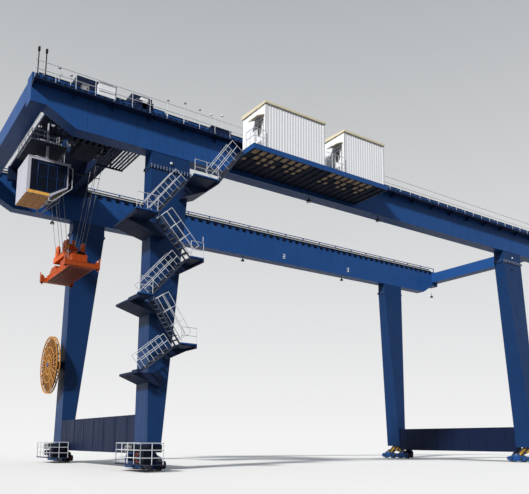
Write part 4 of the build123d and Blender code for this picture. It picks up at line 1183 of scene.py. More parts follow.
def make_hoist_ropes():
    """Eight round ropes between the headblock's sheaves and the trolley's cross beams."""
    low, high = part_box("hoist_ropes")
    head_low, head_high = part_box("headblock")
    middle_x = (low.x + high.x) / 2
    middle = (low.y + high.y) / 2
    foot_x = (head_high.x - head_low.x) / 2 - 0.09
    head_x = (high.x - low.x) / 2 - 0.008
    piece = Piece()
    for side_x in (-1, 1):
        for side_y in (-1, 1):
            for edge in (-1, 1):
                foot = (middle_x + side_x * foot_x, middle + side_y * 0.42 + edge * 0.24, low.z)
                head = (middle_x + side_x * head_x, middle + side_y * 0.42 + edge * 0.314, high.z)
                path = [Vector(foot).lerp(Vector(head), step / 12) for step in range(13)]
                piece.tube(path, 0.0075, "rope", 6)
    ropes = piece.finish("hoist_rope_lines", None, ["hoist_ropes"])
    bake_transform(ropes)


class CRANE_OT_trolley(bpy.types.Operator):
    """Makes the hoist machinery, the trolley's rails and boxes, and the frames and trays under it"""

    bl_idname = "crane.trolley"
    bl_label = "Trolley"

    def execute(self, context):
        make_machinery(context.scene.crane_trolley)
        make_trolley_rails_and_boxes(context.scene.crane_rails)
        make_trolley_underside()
        return {"FINISHED"}


def finned_motor(piece, centre, axis, radius, length, fins, look="plain_blue"):
    """A motor with cooling fins, a fan cowl and a terminal box."""
    run = Vector(axis).normalized()
    side = run.orthogonal().normalized()
    if abs(side.z) > 0.9:
        side = run.cross(side)
    core = radius * 0.86
    centre = Vector(centre)
    piece.turned([
        (0, core), (length * 0.72, core), (length * 0.74, radius), (length * 0.96, radius),
        (length, radius * 0.8),
    ], centre, run, look, 24)
    for number in range(fins):
        turn = Matrix.Rotation(2 * math.pi * number / fins, 3, run)
        out = turn @ side
        across = run.cross(out) * radius * 0.025
        foot = centre + run * length * 0.05 + out * core * 0.98
        piece.prism(
            [
                foot - across, foot + across, foot + across + out * (radius - core),
                foot - across + out * (radius - core),
            ],
            run * length * 0.64, look,
        )
    up = Vector((0, 0, 1))
    base = centre + run * length * 0.35 + up * radius * 0.9
    half = radius * 0.32
    piece.box(
        (base.x - half, base.y - half, base.z), (base.x + half, base.y + half, base.z + radius * 0.35), look,
    )


def make_machinery(sizes):
    """The grooved drum with its rope, the finned motor and the gearbox with its flanges and bolts."""
    low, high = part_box("hoist_machinery")
    rope_low, rope_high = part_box("hoist_ropes")
    x = (rope_low.x + rope_high.x) / 2
    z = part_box("trolley_deck")[1].z + 0.35
    drum_start = low.y + 0.06
    drum_length, drum_radius, drum_lip, rope_length = 1.5, 0.29, 0.03, 1.3
    core = drum_radius - 0.05
    piece = Piece()
    # The drum, gearbox and brackets take the legs' darker blue: painted shade under the trolley
    piece.turned([
        (0, drum_radius), (drum_lip, drum_radius), (drum_lip, core),
        (drum_length - drum_lip, core), (drum_length - drum_lip, drum_radius), (drum_length, drum_radius),
    ], (x, drum_start, z), (0, 1, 0), "leg", 36)
    rope = sizes.drum_rope_radius
    turns = int(rope_length / (2.3 * rope))
    winding(
        piece, (x, drum_start + 0.08, z), (0, 1, 0), "rope", Turns=float(turns), Height=rope_length, Steps=20,
        Sides=5, **{"First radius": core + rope, "Last radius": core + rope, "Rope radius": rope},
    )
    piece.prism([
        (x - 0.22, low.y, low.z), (x + 0.22, low.y, low.z), (x + 0.1, low.y, z + 0.05),
        (x - 0.1, low.y, z + 0.05),
    ], (0, 0.06, 0), "leg")
    cap = [(0, 0.11), (0.012, 0.11), (0.012, 0.06), (0.02, 0.06)]
    piece.turned(cap, (x, low.y + 0.01, z), (0, -1, 0), "zinc", 20)
    gear_y = drum_start + drum_length
    motor_x = x - 0.7
    left, right, flange_half = motor_x - 0.2, x + 0.32, 0.012
    piece.box((left, gear_y, low.z), (right, high.y, z - 0.01), "leg")
    piece.box((motor_x - 0.16, gear_y + 0.02, z), (x + 0.28, high.y - 0.02, high.z), "leg")
    piece.box((left, gear_y, z - flange_half), (right, high.y, z + flange_half), "zinc")
    bolt_x, bolt_y = motor_x - 0.17, high.y - 0.03
    bolt = item_rod((bolt_x, bolt_y, z + flange_half), (bolt_x, bolt_y, z + 0.028), 0.012, 6)
    repeat(piece, bolt, 9, (0.15, 0, 0), "zinc")
    bearing = [(0, 0.09), (0.02, 0.09), (0.02, 0.05), (0.03, 0.05)]
    for shaft_x in (motor_x, x):
        piece.turned(bearing, (shaft_x, bolt_y, z), (0, 1, 0), "zinc", 20)
    motor_radius, motor_length = 0.178, 0.54
    finned_motor(piece, (motor_x, gear_y - 0.02, z), (0, -1, 0), motor_radius, motor_length, sizes.motor_fins)
    piece.box((motor_x - 0.12, gear_y - 0.5, low.z), (motor_x + 0.12, gear_y - 0.06, z - 0.13), "leg")
    piece.finish("hoist_machinery_detail", "trolley", ["hoist_machinery"])


def make_trolley_underside():
    """Braced frames, equipment boxes, a lookout with a lamp, a ladder cage and cables under the trolley."""
    low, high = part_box("trolley_frame")
    piece = Piece()
    x0, x1 = low.x + 0.03, high.x - 0.05
    chord_low, chord_high, brace_low, brace_high = 10.66, 11.08, 10.7, 11.1
    bays = 8
    bay_width = (x1 - 0.9 - x0) / bays
    # The chords, posts and slabs are near-black: painted shade under the trolley
    for y in (middle_y - 3.25, middle_y - 2.35):
        for z in (chord_low, chord_high):
            piece.box((x0, y - 0.035, z), (x1 - 0.9, y + 0.035, z + 0.07), "night")
        for bay in range(bays):
            left = x0 + bay_width * bay
            piece.box((left, y - 0.03, brace_low), (left + 0.05, y + 0.03, 11.18), "night")
            start, end = (brace_high, brace_low) if bay % 2 else (brace_low, brace_high)
            piece.rod((left, y, start), (left + bay_width, y, end), 0.022, "dark_blue", 6)
    slab = item_box((x0, middle_y - 3.28, 10.64), (x0 + 0.1, middle_y - 2.32, 10.68))
    repeat(piece, slab, 11, (0.21, 0, 0), "night")
    # Equipment boxes: place, width, depth and height
    box_top = 11.15 + 0.25
    for x, y, wide, deep, tall in (
        (x0 + 0.3, middle_y - 2.95, 0.55, 0.42, 0.36), (x0 + 1.05, middle_y - 3.0, 0.4, 0.5, 0.3),
        (x0 + 1.6, middle_y - 2.1, 0.6, 0.5, 0.34), (x0 + 0.95, middle_y - 1.55, 0.45, 0.42, 0.3),
        (x0 + 0.25, middle_y + 0.9, 0.5, 0.6, 0.32), (x0 + 1.9, middle_y - 0.9, 0.5, 0.5, 0.3),
    ):
        middle, foot = x + wide / 2, box_top - tall
        piece.box((x, y, foot), (x + wide, y + deep, box_top), "navy")
        piece.box((x + 0.04, y - 0.004, foot + 0.04), (x + wide - 0.04, y, box_top - 0.04), "night")
        piece.rod((middle, y, foot + 0.05), (middle, y + deep, foot + 0.01), 0.02, "zinc", 6)
    # The lookout at the trolley's left end
    floor_low, floor = 10.93, 10.96
    left, right, front, back = low.x + 0.02, low.x + 0.5, middle_y - 1.1, middle_y + 0.2
    piece.box((left, front, floor_low), (right, back, floor), "night")
    for x in (left + 0.02, right - 0.02):
        for y in (front + 0.02, back - 0.02):
            piece.rod((x, y, floor_low), (x, y, 11.66), 0.016, "night", 6)
    corner = (left + 0.02, front + 0.02, floor)
    for end, spacing in (
        ((left + 0.02, back - 0.02, floor), 0.3), ((right - 0.02, front + 0.02, floor), 0.2),
    ):
        railing(piece, corner, end, 0.45, spacing, 0.01, look="dark_blue")
    piece.rod((left + 0.04, front + 0.15, floor), (left + 0.04, front + 0.15, 11.55), 0.01, "black", 6)
    piece.box((left, front + 0.11, 11.5), (left + 0.09, front + 0.2, 11.56), "lens")
    piece.box((leg_left - 1.5, middle_y - 1.8, 10.95), (leg_left - 0.8, middle_y - 0.4, 11.55), "night")
    cab_low, cab_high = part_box("cab_shell")
    piece.box((cab_low.x, cab_low.y, 10.37), (cab_low.x + 1.18, cab_high.y, 10.379), "night")
    # The ladder cage over the cab
    cage_x, cage_y, wide, deep, bar, cage_foot = leg_left - 2.05, middle_y - 0.35, 0.28, 0.35, 0.012, 10.52
    for z in (10.55, 10.8, 11.05):
        ring = [(-wide, -deep), (wide, -deep), (wide, deep), (-wide, deep)]
        piece.tube([(cage_x + x, cage_y + y, z) for x, y in ring], bar, "rail", 6, closed=True)
    for x in (cage_x - wide, cage_x, cage_x + wide):
        for y in (cage_y - deep, cage_y + deep):
            piece.rod((x, y, cage_foot), (x, y, 11.3), bar, "rail", 6)
    for y in (cage_y - 0.12, cage_y + 0.12):
        piece.rod((cage_x - wide, y, cage_foot), (cage_x + wide, y, 11.1), 0.014, "rail", 6)
    piece.box((cage_x - wide, cage_y - deep, 10.51), (cage_x + wide, cage_y + deep, 10.53), "night")
    for y in (middle_y - 1.95, middle_y - 1.75, middle_y + 1.2):
        piece.tube([(x0 + 0.1, y, 11.1), (x0 + 1.2, y, 11.02), (x1 - 0.2, y, 11.12)], 0.016, "black", 6)
    piece.finish("trolley_underside", "trolley")


def make_spreader_clutter():
    """Underside beams in the darker orange that paints shade, striped edges, power packs, cylinders and hoses
    on the spreader's frame.
    """
    low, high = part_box("spreader_frame")
    piece = Piece()
    beam = item_box((low.x + 0.05, low.y + 0.1, low.z), (low.x + 0.09, high.y - 0.1, low.z + 0.006))
    repeat(piece, beam, 5, ((high.x - low.x - 0.14) / 4, 0, 0), "shaded_orange")
    cross = item_box((low.x + 0.05, low.y + 0.15, low.z), (high.x - 0.05, low.y + 0.2, low.z + 0.008))
    row(piece, cross, low.y + 0.15, high.y - 0.2, 0.24, "shaded_orange", axis=1)
    for x in (low.x + 0.0005, high.x - 0.0065):
        piece.box((x, low.y + 0.12, low.z + 0.03), (x + 0.006, high.y - 0.12, low.z + 0.12), "hazard")
        piece.box(
            (x - 0.01, low.y + 0.05, high.z - 0.345), (x + 0.016, high.y - 0.05, high.z - 0.3), "orange",
        )
    deck = high.z - 0.3
    x, y = middle_of(low, high)
    pack_half, pack_top, cheek_x, cheek_thick = 0.38, deck + 0.16, 0.4, 0.03
    for side in (-1, 1):
        pack_y = y + side * 0.68
        piece.box((x - pack_half, pack_y - 0.05, deck), (x + pack_half, pack_y + 0.05, pack_top), "shaded_orange")
        for edge in (-1, 1):
            cheek = ((0.2, 0), (1.1, 0), (0.8, 0.2), (0.3, 0.2))
            outline = [(x + edge * cheek_x, y + side * along, deck + up) for along, up in cheek]
            piece.prism(outline, (-edge * cheek_thick, 0, 0), "shaded_orange")
        cylinder_y = y + side * 0.5
        piece.rod((x - 0.2, cylinder_y, deck + 0.08), (x + 0.25, cylinder_y, deck + 0.08), 0.06, "zinc", 10)
        hose = ((0.1, 0.3, 0.05), (0.18, 0.45, 0.28), (0.05, 0.62, 0.3), (-0.05, 0.75, 0.1))
        piece.tube([(x + a, y + side * b, deck + c) for a, b, c in hose], 0.014, "yellow", 6)
    piece.finish("spreader_clutter", "spreader")


def make_trolley_rails_and_boxes(rails):
    """Round rails on the deck's ends, the hung and the cab's platform, a ladder, and boxes on the deck."""
    low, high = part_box("deck_handrails")
    piece = Piece()
    for x in (low.x + 0.01, high.x - 0.01):
        railing(
            piece, (x, low.y + 0.02, low.z), (x, high.y - 0.02, low.z), 0.52, rails.post_spacing,
            rails.tube_radius,
        )
    # The hung platform, railed on all four sides
    frame_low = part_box("trolley_frame")[0]
    x0, x1 = frame_low.x + 1.97, frame_low.x + 2.93
    y0, y1 = middle_y - 3.035, middle_y - 1.315
    z = frame_low.z + 0.06
    corners = [(x0, y0, z), (x1, y0, z), (x1, y1, z), (x0, y1, z)]
    for number, corner in enumerate(corners):
        railing(piece, corner, corners[(number + 1) % 4], 0.5, 0.5, rails.tube_radius * 0.9)
    # The cab's platform, railed on three sides, with a ladder up to the trolley
    cab_low, cab_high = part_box("cab_shell")
    floor, rail_height = 10.41, 0.34
    x0, x1 = cab_low.x + 0.02, cab_low.x + 1.18
    y0, y1 = cab_low.y + 0.02, cab_high.y - 0.02
    for start, end in (((x0, y0), (x1, y0)), ((x0, y0), (x0, y1)), ((x0, y1), (x1, y1))):
        railing(piece, (*start, floor), (*end, floor), rail_height, 0.4, rails.tube_radius)
    x, y, half = x1 - 0.1, (y0 + y1) / 2, 0.16
    for rail_y in (y - half, y + half):
        piece.rod((x, rail_y, floor), (x, rail_y, 11.15), 0.011, "rail", 8)
    rung = item_rod((x, y - half, floor + 0.12), (x, y + half, floor + 0.12), 0.008, 6)
    repeat(piece, rung, 5, (0, 0, 0.135), "rail")
    piece.finish("trolley_rails_round", "trolley", ["deck_handrails"])
    boxes = Piece()
    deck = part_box("trolley_deck")[1].z
    near = frame_low.y + 0.5
    for start, end, front, depth, foot, top, look in (
        (-1.85, -1.3, 0.0, 0.3, 0.0, 0.36, "white"), (-1.87, -1.28, -0.01, 0.31, 0.36, 0.375, "zinc"),
        (-1.83, -1.58, -0.004, 0.0, 0.03, 0.33, "white"), (-1.57, -1.32, -0.004, 0.0, 0.03, 0.33, "white"),
        (-0.9, -0.55, 0.05, 0.3, 0.0, 0.22, "cab"),
    ):
        boxes.box(
            (leg_left + start, near + front, deck + foot), (leg_left + end, near + depth, deck + top), look,
        )
    boxes.finish("trolley_boxes_detail", "trolley")


class CRANE_OT_cab(bpy.types.Operator):
    """Makes the cab's glazing, window frames, floor panel, guard bars, cooler, seat and consoles"""

    bl_idname = "crane.cab"
    bl_label = "Operator's cab"

    def execute(self, context):
        make_cab_detail()
        return {"FINISHED"}


def make_cab_detail():
    """Window bars, panes, a brown floor panel, guard bars, a cooler, a seat and its consoles."""
    back = leg_left - 3.3
    front = leg_left - 1.99
    floor_front = leg_left - 2.56
    y0, y1 = middle_y - 2.1, middle_y - 0.7
    bottom, top = 8.65, 9.9
    knee = bottom + 0.42
    sill, window_top = bottom + 0.14, top - 0.175
    panes = Piece()
    gy0, gy1 = y0 + 0.07, y1 - 0.07
    panes.prism([
        (floor_front + 0.02, gy0, bottom + 0.05), (front - 0.015, gy0, knee), (front - 0.025, gy0, knee),
        (floor_front + 0.01, gy0, bottom + 0.055),
    ], (0, gy1 - gy0, 0), "green_pane")
    panes.box((front - 0.024, gy0, knee), (front - 0.014, gy1, window_top), "pane")
    window = [
        (back + 0.33, sill), (floor_front, sill), (front - 0.105, knee + 0.035),
        (front - 0.105, window_top), (back + 0.33, window_top),
    ]
    for y in (y0 + 0.012, y1 - 0.022):
        panes.prism([(x, y, z) for x, z in window], (0, 0.01, 0), "dark_pane")
    panes.finish("cab_panes", "trolley", ["cab_glass"])

    trim = Piece()
    # Near-black sheets over the cab's sides stand for its dark inside: painted shade; a brown strip runs
    # along their feet
    for y, out in ((y0, -1), (y1, 1)):
        trim.prism([
            (back + 0.1, y, bottom + 0.1), (floor_front - 0.02, y, bottom + 0.1),
            (front - 0.05, y, knee + 0.02),
            (front - 0.05, y, top - 0.08), (back + 0.1, y, top - 0.08),
        ], (0, out * 0.003, 0), "night")
        trim.box(
            (back + 0.04, y, bottom + 0.01), (floor_front - 0.02, y + out * 0.006, bottom + 0.11),
            "brown_floor",
        )
    # The window frames and bars take the legs' darker blue: painted shade
    for y in (y0 - 0.006, y1 + 0.006):
        trim.tube([(x, y, z) for x, z in window], 0.012, "leg", 6, closed=True)
        for share in (0.36, 0.7):
            x = window[0][0] + (window[3][0] - window[0][0]) * share
            low_z = sill if x < floor_front else sill + (x - floor_front) * 0.68
            trim.rod((x, y, low_z), (x, y, window_top), 0.011, "leg", 6)
        trim.rod((window[0][0], y, bottom + 0.62), (window[3][0], y, bottom + 0.62), 0.009, "leg", 6)
    for y in (y0 + 0.07, middle_y - 1.4, y1 - 0.07):
        trim.tube(
            [(floor_front, y, bottom + 0.03), (front, y, knee), (front, y, top - 0.15)], 0.012, "cab", 6,
        )
    for z in (knee, knee + 0.38, window_top):
        trim.rod((front - 0.002, y0 + 0.07, z), (front - 0.002, y1 - 0.07, z), 0.011, "cab", 6)
    trim.box(
        (back + 0.02, y0 + 0.02, bottom - 0.006), (floor_front - 0.01, y1 - 0.02, bottom - 0.0005),
        "brown_floor",
    )
    rib = item_box((back + 0.03, y0 + 0.03, bottom - 0.03), (back + 0.05, y1 - 0.03, bottom - 0.006))
    repeat(trim, rib, 4, (0.22, 0, 0), "brown_floor")
    trim.box((back, y0 - 0.01, top), (front + 0.06, y1 + 0.01, top + 0.012), "cab")
    guard_front, guard_foot, guard_low = front + 0.14, floor_front + 0.12, bottom - 0.12
    guard = [
        (front - 0.01, top - 0.05), (guard_front, top - 0.12), (guard_front, knee + 0.02),
        (guard_foot, guard_low), (floor_front - 0.02, guard_low), (floor_front - 0.02, bottom),
    ]
    for y in (y0 + 0.02, y1 - 0.02):
        trim.tube([(x, y, z) for x, z in guard], 0.014, "rail", 8)
    for x, z in ((guard_front, knee + 0.3), (guard_foot, guard_low)):
        trim.rod((x, y0 + 0.02, z), (x, y1 - 0.02, z), 0.011, "rail", 8)
    trim.box((back + 0.3, y0 + 0.35, top + 0.012), (back + 0.75, y1 - 0.35, top + 0.2), "white")
    slot = item_box((back + 0.298, y0 + 0.4, top + 0.04), (back + 0.3, y1 - 0.4, top + 0.052))
    repeat(trim, slot, 6, (0, 0, 0.024), "black")
    trim.finish("cab_trim", "trolley")

    inside = Piece()
    seat_x, seat_y = back + 0.62, middle_y - 1.4
    seat, console, lever = bottom + 0.26, bottom + 0.42, bottom + 0.5
    inside.box((seat_x - 0.13, seat_y - 0.14, seat), (seat_x + 0.14, seat_y + 0.14, bottom + 0.32), "black")
    backrest = ((-0.12, 0.3), (-0.07, 0.3), (-0.13, 0.68), (-0.17, 0.67))
    inside.prism([(seat_x + x, seat_y - 0.13, bottom + z) for x, z in backrest], (0, 0.26, 0), "black")
    inside.rod((seat_x, seat_y, bottom + 0.035), (seat_x, seat_y, seat), 0.04, "zinc", 12)
    for side in (-1, 1):
        near, middle, far = (seat_y + side * reach for reach in (0.19, 0.25, 0.31))
        inside.box((seat_x - 0.08, near, bottom + 0.035), (seat_x + 0.2, far, console), "zinc")
        inside.rod((seat_x + 0.12, middle, console), (seat_x + 0.13, middle, lever), 0.012, "black", 8)
    inside.finish("cab_seat", "trolley")


class CRANE_OT_spreader(bpy.types.Operator):
    """Makes the headblock's and spreader's ribs, pipes, pins, boxes, hooks and poles"""

    bl_idname = "crane.spreader"
    bl_label = "Spreader"

    def execute(self, context):
        make_headblock_detail()
        make_spreader_detail()
        make_arm_detail("near")
        make_arm_detail("far")
        make_spreader_clutter()
        return {"FINISHED"}


def make_headblock_detail():
    """Sheave pins and guards, stiffeners, the cable basket and the lifting frame with its rollers."""
    low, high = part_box("headblock")
    x, y = middle_of(low, high)
    top = high.z - 0.46
    pin_z = top + 0.23
    piece = Piece()
    cap = [(0, 0.045), (0.012, 0.045), (0.012, 0.03), (0.03, 0.03)]
    guard_turns = [math.pi * (0.12 + 0.76 * step / 8) for step in range(9)]
    for side_x in (-1, 1):
        sx = x + side_x * 0.31
        for side_y in (-1, 1):
            sy = y + side_y * 0.42
            for way in (-1, 1):
                piece.turned(cap, (sx + way * 0.046, sy, pin_z), (way, 0, 0), "zinc", 12)
            piece.tube(upright_arc(sx, sy, pin_z, 0.222, 0.222, guard_turns), 0.008, "orange", 6)
    for side in (-1, 1):
        rib = Piece()
        edge = x + side * 0.4
        rib.prism(
            [(edge, y - 0.6, top), (edge - side * 0.08, y - 0.6, top), (edge, y - 0.6, top + 0.07)],
            (0, 0.012, 0), "orange",
        )
        repeat(piece, rib, 9, (0, 0.148, 0), "orange")
    bolt = item_rod((x - 0.17, y - 0.26, low.z + 0.03), (x - 0.17, y - 0.26, low.z + 0.05), 0.018, 6)
    repeat(piece, bolt, 6, (0, 0.104, 0), "zinc")
    wide, deep, wire = 0.2, 0.16, 0.007
    for level in range(5):
        z = top + 0.02 + level * 0.07
        corners = [
            (x - wide, y - deep, z), (x + wide, y - deep, z), (x + wide, y + deep, z),
            (x - wide, y + deep, z),
        ]
        piece.tube(corners, wire, "orange", 6, closed=True)
    for px in (x - wide, x, x + wide):
        for py in (y - deep, y + deep):
            piece.rod((px, py, top - 0.08), (px, py, top + 0.3), wire, "orange", 6)
    for lift, wide, deep in ((0.3, 0.22, 0.15), (0.37, 0.15, 0.12)):
        foot = top + lift
        piece.box((x - wide, y - deep, foot), (x + wide, y + deep, foot + 0.05), "orange")
        # Each frame carries a smaller box in the darker orange that paints shade
        piece.box(
            (x - wide * 0.6, y - deep * 0.7, foot + 0.05), (x + wide * 0.6, y + deep * 0.7, foot + 0.11),
            "shaded_orange",
        )
    roller = [(0, 0.085), (0.02, 0.1), (0.05, 0.1), (0.07, 0.085)]
    for side_x in (-1, 1):
        for side_y in (-1, 1):
            foot = (x + side_x * 0.22, y + side_y * 0.13, top + 0.3)
            piece.rod(foot, (x + side_x * 0.05, y + side_y * 0.04, top + 0.62), 0.012, "yellow", 6)
        piece.turned(roller, (x + side_x * 0.11 - 0.035, y, top + 0.56), (1, 0, 0), "orange", 18)
    winding(
        piece, (x, y, top), (0, 0, 1), "black", Turns=5.0, Height=0.16, Steps=20, Sides=6,
        **{"First radius": 0.12, "Last radius": 0.1, "Rope radius": 0.014},
    )
    piece.finish("headblock_detail", "spreader")


def make_spreader_detail():
    """Ribs along the main box, hydraulic packs with doors and motors, pipes, lamps and two marker poles."""
    low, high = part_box("spreader_frame")
    x, y = middle_of(low, high)
    deck = high.z - 0.3
    piece = Piece()
    face, back, front = high.x - x, low.y, high.y
    for side in (-1, 1):
        rib = item_box(
            (x + side * face, back + 0.1, low.z + 0.004),
            (x + side * (face + 0.012), back + 0.112, deck - 0.004),
        )
        repeat(piece, rib, 10, (0, 0.2655, 0), "orange")
        for z in (low.z + 0.001, deck - 0.013):
            piece.box((x + side * face, back, z), (x + side * (face + 0.02), front, z + 0.012), "orange")
    door, door_low, door_high = x + 0.261, deck + 0.03, deck + 0.26
    for side in (-1, 1):
        pack_y = y + side * 0.95
        for start, end in ((-0.17, -0.01), (0.01, 0.17)):
            piece.box((door, pack_y + start, door_low), (door + 0.008, pack_y + end, door_high), "orange")
        piece.box(
            (x - 0.27, pack_y - 0.215, deck + 0.295), (x + 0.27, pack_y + 0.215, deck + 0.312), "orange",
        )
        finned_motor(piece, (x - 0.02, pack_y, deck + 0.4), (1, 0, 0), 0.075, 0.24, 16, "black")
        lamp_y = y + side * 1.2
        piece.box((x + 0.3, lamp_y - 0.04, deck), (x + 0.36, lamp_y + 0.04, deck + 0.09), "black")
        piece.box((x + 0.36, lamp_y - 0.033, deck + 0.02), (x + 0.364, lamp_y + 0.033, deck + 0.08), "lens")
    pipe = ((-0.74, 0.1), (-0.7, 0.02), (0.7, 0.02), (0.74, 0.1))
    for offset in (-0.33, -0.29, 0.3, 0.34):
        tubes(piece, [[(x + offset, y + along, deck + up) for along, up in pipe]], 0.009, "black", 6)
    for side in (-1, 1):
        hose = []
        for share in [step / 12 for step in range(13)]:
            hose.append((
                x - 0.1 + 0.05 * side, y + side * (0.74 - 0.5 * share),
                deck + 0.2 + 0.3 * share - 0.12 * math.sin(math.pi * share),
            ))
        piece.tube(hose, 0.013, "black", 6)
    pole_x, pole_half = x - 0.34, 0.02
    for offset in (-0.34, -0.1):
        pole_y = y + offset - 0.6
        piece.rod((pole_x, pole_y, deck), (pole_x, pole_y, deck + 0.62), 0.01, "zinc", 6)
        piece.box(
            (pole_x - pole_half, pole_y - pole_half, deck + 0.6),
            (pole_x + pole_half, pole_y + pole_half, deck + 0.68), "yellow",
        )
    piece.finish("spreader_frame_detail", "spreader")


def make_arm_detail(side_name):
    """Corner pads, twistlock housings, lifting eyes and edge flanges on one telescopic arm."""
    low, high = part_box(f"spreader_arm_{side_name}")
    x = (low.x + high.x) / 2
    end = low.y if side_name == "near" else high.y
    inward = 1 if side_name == "near" else -1
    beam_low = low.z + 0.07
    piece = Piece()
    twistlock = [(0, 0.055), (0.02, 0.055), (0.02, 0.042), (0.03, 0.04)]
    housing = [(0, 0.04), (0.05, 0.04), (0.05, 0.02), (0.07, 0.02)]
    eye_foot, eye_top = beam_low + 0.242, beam_low + 0.28
    for side in (-1, 1):
        cx = x + side * 0.55
        cy = end + inward * 0.06
        piece.turned(twistlock, (cx, cy, beam_low + 0.002), (0, 0, -1), "black", 16)
        piece.prism([
            (cx - 0.028, cy - 0.02, low.z + 0.02), (cx + 0.028, cy - 0.02, low.z + 0.02),
            (cx + 0.012, cy - 0.02, low.z + 0.001), (cx - 0.012, cy - 0.02, low.z + 0.001),
        ], (0, 0.04, 0), "zinc")
        piece.turned(housing, (cx, cy, beam_low + 0.24), (0, 0, 1), "zinc", 12)
        eye = ((0, eye_foot), (0.05, eye_top), (0.07, eye_foot))
        piece.tube([(cx - 0.03, cy + inward * along, z) for along, z in eye], 0.007, "orange", 6)
    for z in (beam_low - 0.001, beam_low + 0.158):
        piece.box((x - 0.48, end, z), (x + 0.48, end + inward * 0.16, z + 0.013), "orange")
    gusset = item_box(
        (x - 0.44, end + inward * 0.15, beam_low + 0.012),
        (x - 0.428, end + inward * 0.163, beam_low + 0.158),
    )
    repeat(piece, gusset, 7, (0.145, 0, 0), "orange")
    piece.finish(f"spreader_arm_{side_name}_detail", f"arm_{side_name}")


class CRANE_OT_reel(bpy.types.Operator):
    """Makes the cable reel's wound cable, spokes, bolts and rim tubes"""

    bl_idname = "crane.reel"
    bl_label = "Cable reel"

    def execute(self, context):
        make_reel_detail()
        return {"FINISHED"}


def make_reel_detail():
    """The cable wound on a brown core between the discs, the spokes, the rims' round edges and hub bolts."""
    low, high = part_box("cable_reel")
    x, y = middle_of(low, high)
    z = (low.z + high.z) / 2
    centre = Vector((x, y, z))
    radius = (high.y - low.y) / 2
    half = (high.x - low.x) / 2
    turns, first_radius, cable_pitch, cable_radius = 11, 0.445, 0.027, 0.0125
    piece = Piece()
    for lane in (-0.026, 0.0, 0.026):
        winding(
            piece, (x + lane, y, z), (1, 0, 0), "black", Turns=float(turns), Height=0.0, Steps=44, Sides=5,
            **{"First radius": first_radius, "Last radius": first_radius + turns * cable_pitch,
               "Rope radius": cable_radius},
        )
    core = [(-0.035, 0.44), (-0.035, 1.06), (-0.01, 1.08), (0.01, 1.08), (0.035, 1.06), (0.035, 0.44)]
    piece.turned(core, (x, y, z), (1, 0, 0), "dark_brown", 48)
    spoke_start, spoke_end, spoke_half, spoke_thick = 0.42, 1.15, 0.016, 0.008
    rim, bolt_circle = radius - 0.012, 0.15
    for side in (-1, 1):
        flat = Vector((side * (half - 0.012), 0, 0))
        for turn in full_turn(36):
            run = Vector((0, math.cos(turn), math.sin(turn)))
            across = Vector((0, -run.z, run.y)) * spoke_half
            inner, outer = run * spoke_start, run * spoke_end
            piece.prism(
                [inner - across, outer - across, outer + across, inner + across],
                (side * spoke_thick, 0, 0), "gold", centre + flat,
            )
        ring = upright_arc(x + side * (half - 0.017), y, z, rim, rim, full_turn(64))
        piece.tube(ring, 0.0115, "gold", 6, closed=True)
        for place in upright_arc(x + side * half, y, z, bolt_circle, bolt_circle, full_turn(10)):
            piece.turned([(0, 0.014), (0.011, 0.014)], place, (side, 0, 0), "zinc", 6)
    piece.finish("reel_cable", "reel")


class CRANE_OT_girders(bpy.types.Operator):
    """Makes the trolley rails, leg flanges, hatches, bay numbers, lamps, masts and boxes on the girders"""

    bl_idname = "crane.girders"
    bl_label = "Girders"

    def execute(self, context):
        sizes = context.scene.crane_girders
        make_trolley_track()
        make_leg_flanges(sizes)
        make_bay_numbers(sizes)
        make_girder_lamps(sizes)
        make_girder_boxes()
        return {"FINISHED"}


def make_trolley_track():
    """Crane rails with clips on a pale plate, over a row of near-black gussets that paint the shade under the
    plate.
    """
    low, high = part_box("trolley_rails")
    piece = Piece()
    foot = girder_top + 0.03
    for side, edge, web in ((-1, low.y, near_girder[1].y), (1, high.y, far_girder[0].y)):
        inner = web - side * 0.06
        outer = edge
        middle = outer - side * 0.065
        piece.box((low.x, inner, girder_top), (high.x, outer, foot), "rail")
        piece.box((low.x, middle - 0.06, foot), (high.x, middle + 0.06, foot + 0.014), "wheel")
        piece.box((low.x, middle - 0.012, foot + 0.014), (high.x, middle + 0.012, high.z - 0.034), "wheel")
        piece.box((low.x, middle - 0.033, high.z - 0.034), (high.x, middle + 0.033, high.z), "wheel")
        # The gussets are near-black: painted shade under the plate
        gusset = Piece()
        gusset.prism([
            (low.x + 0.02, inner, girder_top), (low.x + 0.02, web, girder_top),
            (low.x + 0.02, web, girder_top - 0.19), (low.x + 0.02, inner, girder_top - 0.12),
        ], (0.13, 0, 0), "night")
        row(piece, gusset, low.x + 0.02, high.x - 0.15, 0.42, "night")
    piece.finish("trolley_track", "gantry", ["trolley_rails"])


